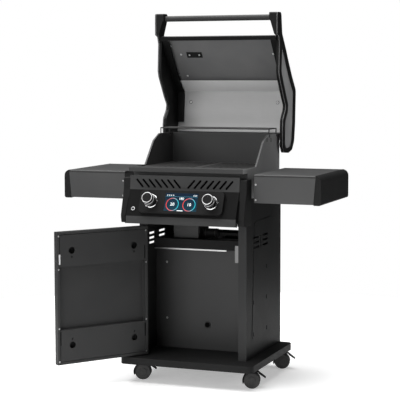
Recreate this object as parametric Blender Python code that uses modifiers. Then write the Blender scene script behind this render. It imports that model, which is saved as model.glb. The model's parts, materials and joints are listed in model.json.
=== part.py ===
"""Gas barbecue grill on a wheeled cart, modelled as separate sub-parts.

Metres, +Z up, -Y is the front, where the cook stands.  Every mesh is drawn in
one cart frame: X = 0 is the middle of the cart, Y = 0 is the front edge of the
side shelves and Z = 0 is the ground.  The frame is then moved back along Y so
that the origin lies under the middle of the whole grill at rest, with the lid
and the door open.
"""
import math

import bmesh
import bpy
from mathutils import Matrix, Vector

# ---------------------------------------------------------------- driving sizes
TOUCH = 0.0003            # gap left between two pieces that touch
RUN = 0.002               # running clearance round a moving piece
SHEET = 0.003             # folded sheet of the cart, shelves and panels

OVERALL_WIDTH = 1.160     # over the outer ends of both side shelves

WHEEL_RADIUS = 0.035
WHEEL_WIDTH = 0.044
WHEEL_HUB_RADIUS = 0.010
WHEEL_GROOVE = 0.010      # slot between the two treads of a twin wheel
CASTER_TRAIL = 0.022
CASTER_HOOD = 0.0035
CASTER_INSET_X = 0.052    # stem centre, in from the side of the base board
CASTER_INSET_FRONT = 0.085
CASTER_INSET_REAR = 0.060
STEM_RADIUS = 0.007
BRAKE_REACH = 0.058

BASE_THICK = 0.030
BASE_SIDE_LEDGE = 0.058   # board past the cart's sides
BASE_FRONT_LEDGE = 0.093
BASE_CORNER = 0.026
CASTER_TOP_GAP = 0.0041   # between a caster's hood and the base board

CART_WIDTH = 0.488
CART_DEPTH = 0.470
CART_FRONT = 0.045
CART_TOP = 0.800          # top of the side panels, which carry the firebox
POST_WIDTH = 0.036
POST_RETURN = 0.025
VENT_LENGTH = 0.072
VENT_HEIGHT = 0.010
VENT_PITCH = 0.021
VENT_FRONTS = (0.090, 0.211)      # front ends of both stacks, behind the cart's front
VENT_DROP = 0.022         # lowest vent below the deck
PEG_SLOT = (0.008, 0.020)         # width and height of the small slots
PEG_SLOT_PLACES = (0.091, 0.267)  # behind the cart's front
PEG_SLOT_HEIGHTS = (0.210, 0.348, 0.483)
FIELD_PRESS = 0.0015      # how far the pressed field stands out from a side panel
FIELD_HEAD = ((0.101, 0.106), (0.328, 0.104), (0.384, 0.129), (0.401, 0.154))
FIELD_FOOT = ((0.408, 0.050), (0.075, 0.080))

DIVIDER_Y = 0.222
CABLE_HOLE = (0.002, 0.221, 0.013)  # X, Z and radius of the hole in the divider
DECK_Z = 0.600
DECK_REAR_GAP = 0.030
DECK_LIP = 0.042
DECK_OVERHANG = 0.024     # deck in front of the divider
DECK_WINDOW_LEFT = 0.030
DECK_WINDOW_RIGHT = 0.180
DECK_WINDOW_SET = 0.060   # window behind the divider
DECK_WINDOW_DEPTH = 0.108
REAR_FRAME_HEIGHT = 0.150
REAR_FRAME_SET = 0.008    # in front of the rear of the cart
REAR_FRAME_DROP = 0.080   # below the underside of the grease tray
REAR_WINDOW = ((-0.120, 0.015), (0.070, 0.068))  # X, and drop below the frame's top
CATCH_LOW = 0.528
CATCH_HEIGHT = 0.072
CATCH_WIDTH = 0.016
POWER_PACK = (0.120, 0.130, 0.070)
POWER_PACK_X = -0.100
POWER_PACK_SET = 0.180    # behind the cart's front

DOOR_SIDE_REVEAL = 0.025  # cart left in sight on each side of the closed door
DOOR_TOP_GAP = 0.0218
DOOR_THICK = 0.026
DOOR_RIM = 0.012
DOOR_BASE_GAP = 0.006
DOOR_PIN_INSET = 0.007
DOOR_OPEN = math.radians(125.5)
PLATE_HEIGHT = 0.132
PLATE_THICK = 0.002
PLATE_HOLE_X = 0.150
PLATE_HOLE_RADIUS = 0.0145
PLATE_SLOT_GAP = 0.026    # slot centre from the hole centre
DOOR_HANDLE_LENGTH = 0.220
DOOR_HANDLE_REACH = 0.034
DOOR_HANDLE_BAR = 0.012
DOOR_HANDLE_WIDTH = 0.018
DOOR_HANDLE_INSET = 0.040 # from the free edge of the door
DOOR_HANDLE_DROP = 0.110  # from the top of the door

RIM_RISE = 0.1294         # front rim of the firebox above the cart
FIREBOX_SIDE_LAP = 0.014  # firebox past each side of the cart
FIREBOX_FRONT_LAP = 0.025
FIREBOX_REAR_SET = 0.063
FIREBOX_WALL = 0.008
RIM_REACH = 0.0565        # front rim forward of the firebox's front wall
RIM_DROP = 0.0195
SIDE_WALL_RISE = 0.1286   # side and rear walls above the rim
GREASE_SLOT = 0.150
LEDGE_WIDTH = 0.010
LEDGE_HEIGHT = 0.012

GRID_THICK = 0.010
GRID_DROP = 0.005         # grid top below the rim
GRID_BARS = 9
GRID_BAR_WIDTH = 0.010
GRID_FRAME = 0.012
BURNER_RADIUS = 0.0125
BURNER_X = 0.120
BURNER_RISE = 0.0357      # above the underside of the firebox
TENT_WIDTH = 0.110
TENT_HEIGHT = 0.030
TENT_RISE = 0.0617
TENT_SHEET = 0.0025

RACK_FRONT_SET = 0.140    # in front of the firebox's rear
RACK_DEPTH = 0.100
RACK_RISE = 0.024         # above the side walls
RACK_WIRE = 0.003
RACK_BARS = 4
RACK_NOTCH = 0.012

PANEL_TOP_RISE = 0.0958   # the panel's four edges, above or below the cart's top
PANEL_BEND_RISE = 0.0363
PANEL_LOW_DROP = 0.0727
PANEL_FOOT_DROP = 0.1046
PANEL_RIM_GAP = 0.0075    # top edge in front of the firebox's rim
PANEL_BEND_OUT = 0.0035   # how far the panel leans out down to its bend
PANEL_LOW_OUT = 0.0483    # and from the bend to its lowest edge
PANEL_SIDE_LAP = 0.0018   # panel past each side of the cart
CAP_WIDTH = 0.030
CAP_SET_BACK = 0.002
CAP_LOW_SET_BACK = 0.016
CAP_FOOT_SET_BACK = 0.022
CAP_TOP_DROP = 0.010
SLOT_COUNT = 7
SLOT_PITCH = 0.0282
SLOT_WIDTH = 0.0085
SLOT_RISE = 0.036
SLOT_LEAN = 0.032
SLOT_FIRST_X = 0.032      # middle of the slot next to the centre line
SLOT_TOP_DROP = 0.033     # middle of the slots below the panel's top edge
BEZEL_THICK = 0.014
BEZEL_WIDTH = 0.374
BEZEL_HEIGHT = 0.102
BEZEL_CORNER = 0.018
SCREEN_WIDTH = 0.146
SCREEN_HEIGHT = 0.079
SCREEN_THICK = 0.003
SCREEN_SUNK = 0.001
KNOB_X = 0.1345
KNOB_ALONG = 0.056        # knob centre, down the slope from the panel's bend
KNOB_RADIUS = 0.0245
KNOB_LENGTH = 0.038
KNOB_RING_RADIUS = 0.030
KNOB_RING_THICK = 0.006
KNOB_TRAVEL = 0.004
KNOB_SOCKET = 0.020
SPINDLE_TAIL = 0.004      # spindle behind the panel's face
VALVE_LENGTH = 0.026
VALVE_RADIUS = 0.009
PIPE_RADIUS = 0.006
SPINDLE_RADIUS = 0.004
BUTTON_INSET = 0.0303     # from the side of the panel
BUTTON_STEM = 0.010
BUTTON_LIP = 0.0015
BUTTON_ALONG = 0.088
BUTTON_RADIUS = 0.0080
BUTTON_PROUD = 0.005
BUTTON_TRAVEL = 0.002

SHELF_RISE = 0.1076       # shelf tops above the cart
SHELF_HEIGHT = 0.119
SHELF_DEPTH = 0.4294
SHELF_LID_GAP = 0.004     # between a shelf and the lid's end cap
SHELF_EDGE_ROUND = 0.008
SHELF_END_WIDTH = 0.0215  # at the top
SHELF_END_LEAN = 0.010    # how much wider the end piece is at its foot
SHELF_END_ROUND = 0.026
SHELF_END_DROP = 0.003    # end piece below the shelf's underside

TRAY_WIDTH = 0.300
TRAY_DEPTH = 0.330
TRAY_HEIGHT = 0.030
TRAY_DROP = 0.010         # tray's rim below the top of the cart
TRAY_FRONT_SET = 0.015    # behind the cart's front
DRIP_HOLE_RADIUS = 0.010
CUP_RADIUS = 0.042
CUP_HEIGHT = 0.060
RUNNER_LIP = 0.010        # runner under the tray
RUNNER_FRONT_SET = 0.040  # runner behind the front of the tray
RUNNER_TOP = 0.008

HINGE_SET = 0.012         # lid hinge in front of the firebox's rear
HINGE_DROP = 0.048        # and below the top of its side walls
PIN_RADIUS = 0.006
LID_SIDE_GAP = 0.013      # between the firebox and each end cap
LID_CAP_THICK = 0.0165
LID_RECESS = 0.004
LID_RECESS_RIM = 0.034    # from the cap's rear edge
LID_SHEET = 0.003
LID_SHELL_INSET = 0.016
LID_RIB = 0.030           # how far the caps' inner ribs reach inwards
LID_SHIELD_GAP = 0.006
SHIELD_SHEET = 0.0015
HANDLE_RADIUS = 0.0125
HANDLE_ARM_WIDTH = 0.040
HANDLE_ARM_LEAN = math.radians(17)
HEM_DEPTH = 0.034
HEM_DROP = 0.017
HANDLE_UP = 0.556         # bar centre above the hinge with the lid open
HANDLE_FORWARD = 0.082    # bar centre in front of the hinge with the lid open

# --------------------------------------------------------------- derived places
BASE_GROUND_GAP = 2 * WHEEL_RADIUS + RUN + CASTER_HOOD + CASTER_TOP_GAP
BASE_TOP = BASE_GROUND_GAP + BASE_THICK
BASE_WIDTH = CART_WIDTH + 2 * BASE_SIDE_LEDGE
BASE_FRONT = CART_FRONT - BASE_FRONT_LEDGE
CART_REAR = CART_FRONT + CART_DEPTH
CART_HALF = CART_WIDTH / 2
INNER_HALF = CART_HALF - SHEET - TOUCH

FIREBOX_WIDTH = CART_WIDTH + 2 * FIREBOX_SIDE_LAP
FIREBOX_FRONT = CART_FRONT - FIREBOX_FRONT_LAP
FIREBOX_REAR = CART_REAR - FIREBOX_REAR_SET
FIREBOX_BOTTOM = CART_TOP + TOUCH
RIM_FRONT = FIREBOX_FRONT - RIM_REACH
RIM_Z = CART_TOP + RIM_RISE
SIDE_WALL_Z = RIM_Z + SIDE_WALL_RISE
BURNER_Z = FIREBOX_BOTTOM + BURNER_RISE
TENT_Z = FIREBOX_BOTTOM + TENT_RISE
RACK_FRONT = FIREBOX_REAR - RACK_FRONT_SET
RACK_REAR = RACK_FRONT + RACK_DEPTH
RACK_Z = SIDE_WALL_Z + RACK_RISE
TRAY_TOP = CART_TOP - TRAY_DROP
TRAY_FRONT = CART_FRONT + TRAY_FRONT_SET
DRIP_Y = TRAY_FRONT + TRAY_DEPTH / 2

PANEL_TOP_Z = CART_TOP + PANEL_TOP_RISE
PANEL_BEND_Z = CART_TOP + PANEL_BEND_RISE
PANEL_LOW_Z = CART_TOP - PANEL_LOW_DROP
PANEL_FOOT_Z = CART_TOP - PANEL_FOOT_DROP
PANEL_TOP_Y = RIM_FRONT - PANEL_RIM_GAP
PANEL_BEND_Y = PANEL_TOP_Y - PANEL_BEND_OUT
PANEL_LOW_Y = PANEL_BEND_Y - PANEL_LOW_OUT
PANEL_WIDTH = CART_WIDTH + 2 * PANEL_SIDE_LAP
BUTTON_X = BUTTON_INSET - PANEL_WIDTH / 2

DOOR_WIDTH = CART_WIDTH - 2 * DOOR_SIDE_REVEAL
DOOR_INNER_Y = CART_FRONT - 2 * RUN
DOOR_PIN_X = -DOOR_WIDTH / 2 + DOOR_PIN_INSET
DOOR_PIN_Y = DOOR_INNER_Y - DOOR_THICK / 2
DOOR_BOTTOM = BASE_TOP + DOOR_BASE_GAP
DOOR_TOP = PANEL_FOOT_Z - DOOR_TOP_GAP

SLOPE = math.hypot(PANEL_BEND_Z - PANEL_LOW_Z, PANEL_BEND_Y - PANEL_LOW_Y)
DOWN = Vector((0, PANEL_LOW_Y - PANEL_BEND_Y, PANEL_LOW_Z - PANEL_BEND_Z)) / SLOPE
OUT = Vector((0, DOWN.z, -DOWN.y))

HINGE_Y = FIREBOX_REAR - HINGE_SET
HINGE_Z = SIDE_WALL_Z - HINGE_DROP
LID_INNER_X = FIREBOX_WIDTH / 2 + LID_SIDE_GAP
LID_OUTER_X = LID_INNER_X + LID_CAP_THICK
SHELF_INNER = LID_OUTER_X + SHELF_LID_GAP
SHELF_OUTER = OVERALL_WIDTH / 2
SHELF_TOP = CART_TOP + SHELF_RISE
SHELF_BOTTOM = SHELF_TOP - SHELF_HEIGHT

BLACK = ("painted_metal", (0.035, 0.036, 0.038), 0.45, 0.3)
CHARCOAL = ("painted_panel", (0.085, 0.087, 0.090), 0.42, 0.3)
GRAPHITE = ("painted_lid_inside", (0.12, 0.122, 0.125), 0.45, 0.4)
STEEL = ("stainless_steel", (0.60, 0.60, 0.60), 0.30, 1.0)
CHROME = ("chrome", (0.80, 0.80, 0.82), 0.10, 1.0)
IRON = ("cast_iron", (0.03, 0.03, 0.032), 0.65, 0.2)
PLASTIC = ("matte_plastic", (0.025, 0.025, 0.027), 0.50, 0.0)
SCREEN = ("display_glass", (0.05, 0.14, 0.24), 0.12, 0.0)
BRASS = ("brass", (0.65, 0.48, 0.22), 0.35, 1.0)

SIDES = (("left", -1), ("right", 1))


# --------------------------------------------------------------------- helpers
def clear_scene():
    for old in list(bpy.data.objects):
        bpy.data.objects.remove(old, do_unlink=True)


def new_collection(name):
    group = bpy.data.collections.new(name)
    bpy.context.scene.collection.children.link(group)
    return group


clear_scene()
PARTS = new_collection("gas_barbecue_grill")
CUTTERS = new_collection("cutters")


def get_material(finish):
    name, colour, roughness, metallic = finish
    found = bpy.data.materials.get(name)
    if found:
        return found
    material = bpy.data.materials.new(name)
    material.use_nodes = True
    shader = material.node_tree.nodes["Principled BSDF"]
    shader.inputs["Base Color"].default_value = (*colour, 1)
    shader.inputs["Roughness"].default_value = roughness
    shader.inputs["Metallic"].default_value = metallic
    return material


def add_carrier(name, at, parent=None, turn=0.0, about="Z"):
    """An empty at a place in the cart frame, which its children turn with."""
    empty = bpy.data.objects.new(name, None)
    CUTTERS.objects.link(empty)
    at = Vector(at)
    empty["place"] = at
    empty.parent = parent
    start = Vector(parent["place"]) if parent else Vector()
    empty.location = at - start
    axis = {"X": 0, "Y": 1, "Z": 2}[about]
    empty.rotation_euler[axis] = turn
    return empty


def make_piece(name, mesh, finish, carrier, smooth=True):
    piece = bpy.data.objects.new(name, mesh)
    PARTS.objects.link(piece)
    mesh.materials.clear()
    mesh.materials.append(get_material(finish))
    if smooth:
        mesh.shade_smooth()
        mesh.set_sharp_from_angle(angle=math.radians(35))
    piece.parent = carrier
    piece.location = -Vector(carrier["place"])
    return piece


def mesh_from(bm, name="shape"):
    mesh = bpy.data.meshes.new(name)
    bmesh.ops.recalc_face_normals(bm, faces=bm.faces)
    bm.to_mesh(mesh)
    bm.free()
    return mesh


def box_mesh(low, high):
    low, high = Vector(low), Vector(high)
    bm = bmesh.new()
    bmesh.ops.create_cube(bm, size=1)
    size = high - low
    bmesh.ops.transform(bm, matrix=Matrix.Diagonal((*size, 1)), verts=bm.verts)
    bmesh.ops.translate(bm, vec=(low + high) / 2, verts=bm.verts)
    return mesh_from(bm, "box")


def rod_mesh(start, end, radius, sides=20, end_radius=None):
    """A round rod, or a cone, between two points."""
    start, end = Vector(start), Vector(end)
    way = end - start
    bm = bmesh.new()
    top = radius if end_radius is None else end_radius
    bmesh.ops.create_cone(bm, cap_ends=True, segments=sides, radius1=radius, radius2=top,
                          depth=way.length)
    turn = way.to_track_quat("Z", "Y").to_matrix().to_4x4()
    place = Matrix.Translation((start + end) / 2) @ turn
    bmesh.ops.transform(bm, matrix=place, verts=bm.verts)
    return mesh_from(bm, "rod")


PLANES = {
    "XY": Matrix.Identity(4),
    "XZ": Matrix(((1, 0, 0, 0), (0, 0, -1, 0), (0, 1, 0, 0), (0, 0, 0, 1))),
    "YZ": Matrix(((0, 0, 1, 0), (1, 0, 0, 0), (0, 1, 0, 0), (0, 0, 0, 1))),
}


def outline_mesh(loops, plane, low, high):
    """A flat outline, with any holes, drawn in a plane and filled from low to high.

    The span runs along the axis that the plane's name leaves out.
    """
    curve = bpy.data.curves.new("outline", "CURVE")
    curve.dimensions = "2D"
    curve.fill_mode = "BOTH"
    curve.extrude = (high - low) / 2
    for loop in loops:
        spline = curve.splines.new("POLY")
        spline.points.add(len(loop) - 1)
        for point, (first, second) in zip(spline.points, loop):
            point.co = (first, second, 0, 1)
        spline.use_cyclic_u = True
    holder = bpy.data.objects.new("outline", curve)
    CUTTERS.objects.link(holder)
    mesh = mesh_of_curve(holder)
    middle = (low + high) / 2
    if plane == "XZ":
        middle = -middle
    mesh.transform(PLANES[plane] @ Matrix.Translation((0, 0, middle)))
    return mesh


def mesh_of_curve(holder):
    """The mesh of a curve object with its caps welded on; the curve is removed."""
    bpy.context.view_layer.update()
    graph = bpy.context.evaluated_depsgraph_get()
    mesh = bpy.data.meshes.new_from_object(holder.evaluated_get(graph))
    bm = bmesh.new()
    bm.from_mesh(mesh)
    bmesh.ops.remove_doubles(bm, verts=bm.verts, dist=0.00001)
    bm.transform(holder.matrix_world)
    bmesh.ops.recalc_face_normals(bm, faces=bm.faces)
    bm.to_mesh(mesh)
    bm.free()
    bpy.data.objects.remove(holder, do_unlink=True)
    return mesh


def tube_mesh(points, radius, resolution=2, closed=False):
    curve = bpy.data.curves.new("tube", "CURVE")
    curve.dimensions = "3D"
    curve.bevel_depth = radius
    curve.bevel_resolution = resolution
    curve.use_fill_caps = True
    spline = curve.splines.new("POLY")
    spline.points.add(len(points) - 1)
    for point, place in zip(spline.points, points):
        point.co = (*place, 1)
    spline.use_cyclic_u = closed
    holder = bpy.data.objects.new("tube", curve)
    CUTTERS.objects.link(holder)
    return mesh_of_curve(holder)


def arc(centre, radius, start, end, steps):
    """Points on an arc, in degrees, both ends included."""
    points = []
    for step in range(steps + 1):
        angle = math.radians(start + (end - start) * step / steps)
        points.append((centre[0] + radius * math.cos(angle), centre[1] + radius * math.sin(angle)))
    return points


def round_corners(points, radii, steps=4):
    """The outline with each corner replaced by an arc of its own radius."""
    outline = []
    count = len(points)
    for index in range(count):
        corner = Vector(points[index])
        radius = radii[index] if isinstance(radii, (list, tuple)) else radii
        if radius <= 0:
            outline.append(tuple(corner))
            continue
        before = (Vector(points[index - 1]) - corner).normalized()
        after = (Vector(points[(index + 1) % count]) - corner).normalized()
        half = before.angle(after) / 2
        reach = radius / math.tan(half)
        middle = corner + (before + after).normalized() * (radius / math.sin(half))
        first = corner + before * reach - middle
        last = corner + after * reach - middle
        sweep = first.angle_signed(last)
        for step in range(steps + 1):
            turn = Matrix.Rotation(-sweep * step / steps, 2)
            outline.append(tuple(middle + turn @ first))
    return outline


def rounded_box(low, high, radius, steps=4):
    corners = [(low[0], low[1]), (high[0], low[1]), (high[0], high[1]), (low[0], high[1])]
    return round_corners(corners, radius, steps)


def slanted_slot(middle, lean, rise, width):
    """A straight slot with round ends, from bottom left to top right when lean > 0."""
    way = Vector((lean, rise))
    angle = math.degrees(math.atan2(rise, lean))
    half = (way.length - width) / 2
    tip = way.normalized() * half
    centre = Vector(middle)
    return (arc(centre + tip, width / 2, angle - 90, angle + 90, 4)
            + arc(centre - tip, width / 2, angle + 90, angle + 270, 4))


def mirrored(mesh):
    """A copy of a mesh on the other side of X = 0, still facing out."""
    twin = mesh.copy()
    twin.transform(Matrix.Diagonal((-1, 1, 1, 1)))
    twin.flip_normals()
    return twin


def side_mesh(mesh, side):
    return mesh if side > 0 else mirrored(mesh)


def apply_boolean(mesh, others, operation):
    """Cut meshes out of a mesh, or join them to it, and return the result."""
    base = bpy.data.objects.new("boolean_base", mesh)
    CUTTERS.objects.link(base)
    tools = []
    for other in others:
        tool = bpy.data.objects.new("boolean_tool", other)
        CUTTERS.objects.link(tool)
        tool.hide_render = True
        tool.display_type = "WIRE"
        step = base.modifiers.new("join" if operation == "UNION" else "cut", "BOOLEAN")
        step.operation = operation
        step.object = tool
        tools.append(tool)
    bpy.context.view_layer.update()
    graph = bpy.context.evaluated_depsgraph_get()
    result = bpy.data.meshes.new_from_object(base.evaluated_get(graph))
    for used in tools + [base]:
        bpy.data.objects.remove(used, do_unlink=True)
    return result


def cut(mesh, *tools):
    return apply_boolean(mesh, tools, "DIFFERENCE")


def join(mesh, *others):
    return apply_boolean(mesh, others, "UNION")


def soften(piece, width, segments=2, angle=35):
    bevel = piece.modifiers.new("soft_edges", "BEVEL")
    bevel.width = width
    bevel.segments = segments
    bevel.limit_method = "ANGLE"
    bevel.angle_limit = math.radians(angle)
    return piece


def panel_point(x, along, out=0.0):
    """A place on the sloped control panel: down the slope and out from it."""
    return Vector((x, PANEL_BEND_Y, PANEL_BEND_Z)) + DOWN * along + OUT * out


def panel_matrix(x, along, out=0.0):
    """Local X stays X, local Y runs up the slope and local Z points out of it."""
    place = panel_point(x, along, out)
    rows = [(1, 0, 0, place.x), (0, -DOWN.y, OUT.y, place.y), (0, -DOWN.z, OUT.z, place.z),
            (0, 0, 0, 1)]
    return Matrix(rows)


def turned_mesh(profile, steps=28):
    """A shape turned round Z from (radius, height) points, top to bottom on its outer side."""
    mesh = bpy.data.meshes.new("profile")
    places = [(radius, 0, height) for radius, height in profile]
    mesh.from_pydata(places, [(i, i + 1) for i in range(len(places) - 1)], [])
    holder = bpy.data.objects.new("turned", mesh)
    CUTTERS.objects.link(holder)
    screw = holder.modifiers.new("turn", "SCREW")
    screw.steps = steps
    screw.render_steps = steps
    screw.use_merge_vertices = True
    screw.merge_threshold = 0.00001
    bpy.context.view_layer.update()
    graph = bpy.context.evaluated_depsgraph_get()
    result = bpy.data.meshes.new_from_object(holder.evaluated_get(graph))
    bpy.data.objects.remove(holder, do_unlink=True)
    return result


# ---------------------------------------------------------------- lid outlines
def lid_point(forward, up):
    """A place of the open lid, given in front of and above its hinge."""
    return (HINGE_Y - forward, HINGE_Z + up)


def lid_rear_line():
    """The rear of the end caps with the lid open, from top to bottom."""
    return [lid_point(0.046, 0.486), lid_point(-0.008, 0.420), lid_point(-0.046, 0.368),
            lid_point(-0.100, 0.300), lid_point(-0.158, 0.238), lid_point(-0.150, 0.088),
            lid_point(-0.136, 0.010)]


def inset_line(points, distance):
    """The line moved forward, square to each of its own stretches."""
    moved = []
    for index, point in enumerate(points):
        before = Vector(points[max(index - 1, 0)])
        after = Vector(points[min(index + 1, len(points) - 1)])
        way = (after - before).normalized()
        moved.append(tuple(Vector(point) + Vector((way.y, -way.x)) * distance))
    return moved


def band(points, first, second):
    """A closed strip that follows a line, between two distances in front of it."""
    return inset_line(points, first) + list(reversed(inset_line(points, second)))


def lid_cap_outline():
    """Side view of an end cap: wavy front edge, then the rear line upwards."""
    front = [lid_point(0.044, 0.506), lid_point(0.074, 0.455), lid_point(0.0825, 0.3245),
             lid_point(0.074, 0.298), lid_point(0.010, 0.205), lid_point(-0.018, 0.172),
             lid_point(-0.010, 0.148), lid_point(0.022, 0.112), lid_point(0.027, 0.080),
             lid_point(0.027, -0.010), lid_point(0.006, -0.036), lid_point(-0.052, -0.040),
             lid_point(-0.106, -0.028)]
    rear = list(reversed(lid_rear_line()))
    points = front + rear
    radii = [0.004, 0.03, 0.012, 0.03, 0.03, 0.014, 0.02, 0.02, 0.02, 0.012, 0.02, 0.03, 0.03,
             0.03, 0.05, 0.03, 0.05, 0.05, 0.05, 0.010]
    return round_corners(points, radii, 3)


def lid_recess_outline():
    """The hollow in an end cap's outer side, inside a broad rim."""
    front = [lid_point(0.047, 0.432), lid_point(0.0555, 0.326), lid_point(0.048, 0.308),
             lid_point(-0.016, 0.214), lid_point(-0.045, 0.176), lid_point(-0.036, 0.140),
             lid_point(-0.004, 0.103), lid_point(0.001, 0.078), lid_point(0.001, 0.000),
             lid_point(-0.012, -0.016), lid_point(-0.050, -0.019), lid_point(-0.088, -0.010)]
    rear = list(reversed(inset_line(lid_rear_line()[1:], LID_RECESS_RIM)))
    points = front + rear
    return round_corners(points, [0.008] * len(points), 2)


# ----------------------------------------------------------------- cart pieces
def build_base(root):
    """Deep-drawn base pan, open below, where the casters' stems go in."""
    half = BASE_WIDTH / 2
    outline = rounded_box((-half, BASE_FRONT), (half, CART_REAR), BASE_CORNER)
    pan = outline_mesh([outline], "XY", BASE_GROUND_GAP, BASE_TOP)
    inside = rounded_box((SHEET - half, BASE_FRONT + SHEET), (half - SHEET, CART_REAR - SHEET),
                         BASE_CORNER - SHEET)
    pocket = outline_mesh([inside], "XY", BASE_GROUND_GAP - SHEET, BASE_TOP - 2 * SHEET)
    base = make_piece("base_board", cut(pan, pocket), BLACK, root)
    soften(base, SHEET / 2, 2)


def vent_cutter():
    """Slots through a side panel: two stacks of three and a short bar between."""
    slots = []
    lowest = DECK_Z - VENT_DROP
    for start in VENT_FRONTS:
        y = CART_FRONT + start
        for row in range(3):
            z = lowest + VENT_PITCH * row
            slots.append(rounded_box((y, z), (y + VENT_LENGTH, z + VENT_HEIGHT), 0.004, 2))
    middle = CART_FRONT + (VENT_FRONTS[0] + VENT_LENGTH + VENT_FRONTS[1]) / 2
    slots.append(rounded_box((middle - VENT_HEIGHT / 2, lowest),
                             (middle + VENT_HEIGHT / 2, lowest + 2 * VENT_PITCH + VENT_HEIGHT),
                             0.004, 2))
    width, height = PEG_SLOT
    for place in PEG_SLOT_PLACES:
        y = CART_FRONT + place
        for z in PEG_SLOT_HEIGHTS:
            slots.append(rounded_box((y - width / 2, z - height / 2),
                                     (y + width / 2, z + height / 2), 0.0035, 2))
    return outline_mesh(slots, "YZ", CART_HALF - 2 * SHEET, CART_HALF + SHEET)


def build_side_panels(root):
    """Channels that stand on the base: front post, outer wall and rear post."""
    post = CART_HALF - POST_WIDTH
    front, rear = CART_FRONT, CART_REAR
    outline = [(post, front), (CART_HALF, front), (CART_HALF, rear), (post, rear),
               (post, rear - SHEET), (CART_HALF - SHEET, rear - SHEET),
               (CART_HALF - SHEET, front + SHEET), (post + SHEET, front + SHEET),
               (post + SHEET, front + POST_RETURN), (post, front + POST_RETURN)]
    channel = outline_mesh([outline], "XY", BASE_TOP + TOUCH, CART_TOP)
    field = [(CART_FRONT + behind, CART_TOP - drop) for behind, drop in FIELD_HEAD]
    field += [(CART_FRONT + behind, BASE_TOP + rise) for behind, rise in FIELD_FOOT]
    radii = [0.020, 0.040, 0.030, 0.020, 0.020, 0.020]
    pressed = outline_mesh([round_corners(field, radii, 3)], "YZ", CART_HALF - SHEET / 2,
                           CART_HALF + FIELD_PRESS)
    panel = cut(join(channel, pressed), vent_cutter())
    for name, side in SIDES:
        make_piece("side_panel_" + name, side_mesh(panel, side), BLACK, root)


def build_cart_inside(root):
    low = BASE_TOP + TOUCH
    hole = arc(CABLE_HOLE[:2], CABLE_HOLE[2], 0, 345, 16)
    high = DECK_Z - SHEET - TOUCH
    wall = [(-INNER_HALF, low), (INNER_HALF, low), (INNER_HALF, high), (-INNER_HALF, high)]
    divider = outline_mesh([wall, hole], "XZ", DIVIDER_Y, DIVIDER_Y + SHEET)
    make_piece("divider_panel", divider, CHARCOAL, root)

    lip_y = DIVIDER_Y - DECK_OVERHANG
    rear = CART_REAR - DECK_REAR_GAP
    profile = [(lip_y, DECK_Z), (rear, DECK_Z), (rear, DECK_Z - SHEET),
               (lip_y + SHEET, DECK_Z - SHEET), (lip_y + SHEET, DECK_Z - DECK_LIP),
               (lip_y, DECK_Z - DECK_LIP)]
    deck = outline_mesh([profile], "YZ", -INNER_HALF, INNER_HALF)
    window_y = DIVIDER_Y + DECK_WINDOW_SET
    window = box_mesh((DECK_WINDOW_LEFT, window_y, DECK_Z - 2 * SHEET),
                      (DECK_WINDOW_RIGHT, window_y + DECK_WINDOW_DEPTH, DECK_Z + SHEET))
    make_piece("deck_shelf", cut(deck, window), BLACK, root)

    frame_y = CART_REAR - REAR_FRAME_SET
    top = TRAY_TOP - TRAY_HEIGHT - REAR_FRAME_DROP
    foot = top - REAR_FRAME_HEIGHT
    (left, upper), (right, lower) = REAR_WINDOW
    window = [(left, top - upper), (right, top - upper), (right, top - lower),
              (left, top - lower)]
    frame = outline_mesh([[(-INNER_HALF, foot), (INNER_HALF, foot), (INNER_HALF, top),
                           (-INNER_HALF, top)], window], "XZ", frame_y - SHEET, frame_y)
    make_piece("rear_frame", frame, BLACK, root, smooth=False)

    post = CART_HALF - POST_WIDTH - TOUCH
    catch_y = CART_FRONT + 0.004
    catch = box_mesh((post - CATCH_WIDTH, catch_y, CATCH_LOW),
                     (post, catch_y + SHEET, CATCH_LOW + CATCH_HEIGHT))
    tab = box_mesh((post - SHEET, catch_y + SHEET / 3, CATCH_LOW + 2 * SHEET),
                   (post, CART_FRONT + POST_RETURN, CATCH_LOW + CATCH_HEIGHT - 2 * SHEET))
    make_piece("door_catch_plate", join(catch, tab), STEEL, root, smooth=False)

    width, depth, height = POWER_PACK
    pack_y = CART_FRONT + POWER_PACK_SET
    pack = box_mesh((POWER_PACK_X - width / 2, pack_y, DECK_Z + TOUCH),
                    (POWER_PACK_X + width / 2, pack_y + depth, DECK_Z + height))
    soften(make_piece("power_pack", pack, PLASTIC, root), 0.004, 1)


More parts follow.
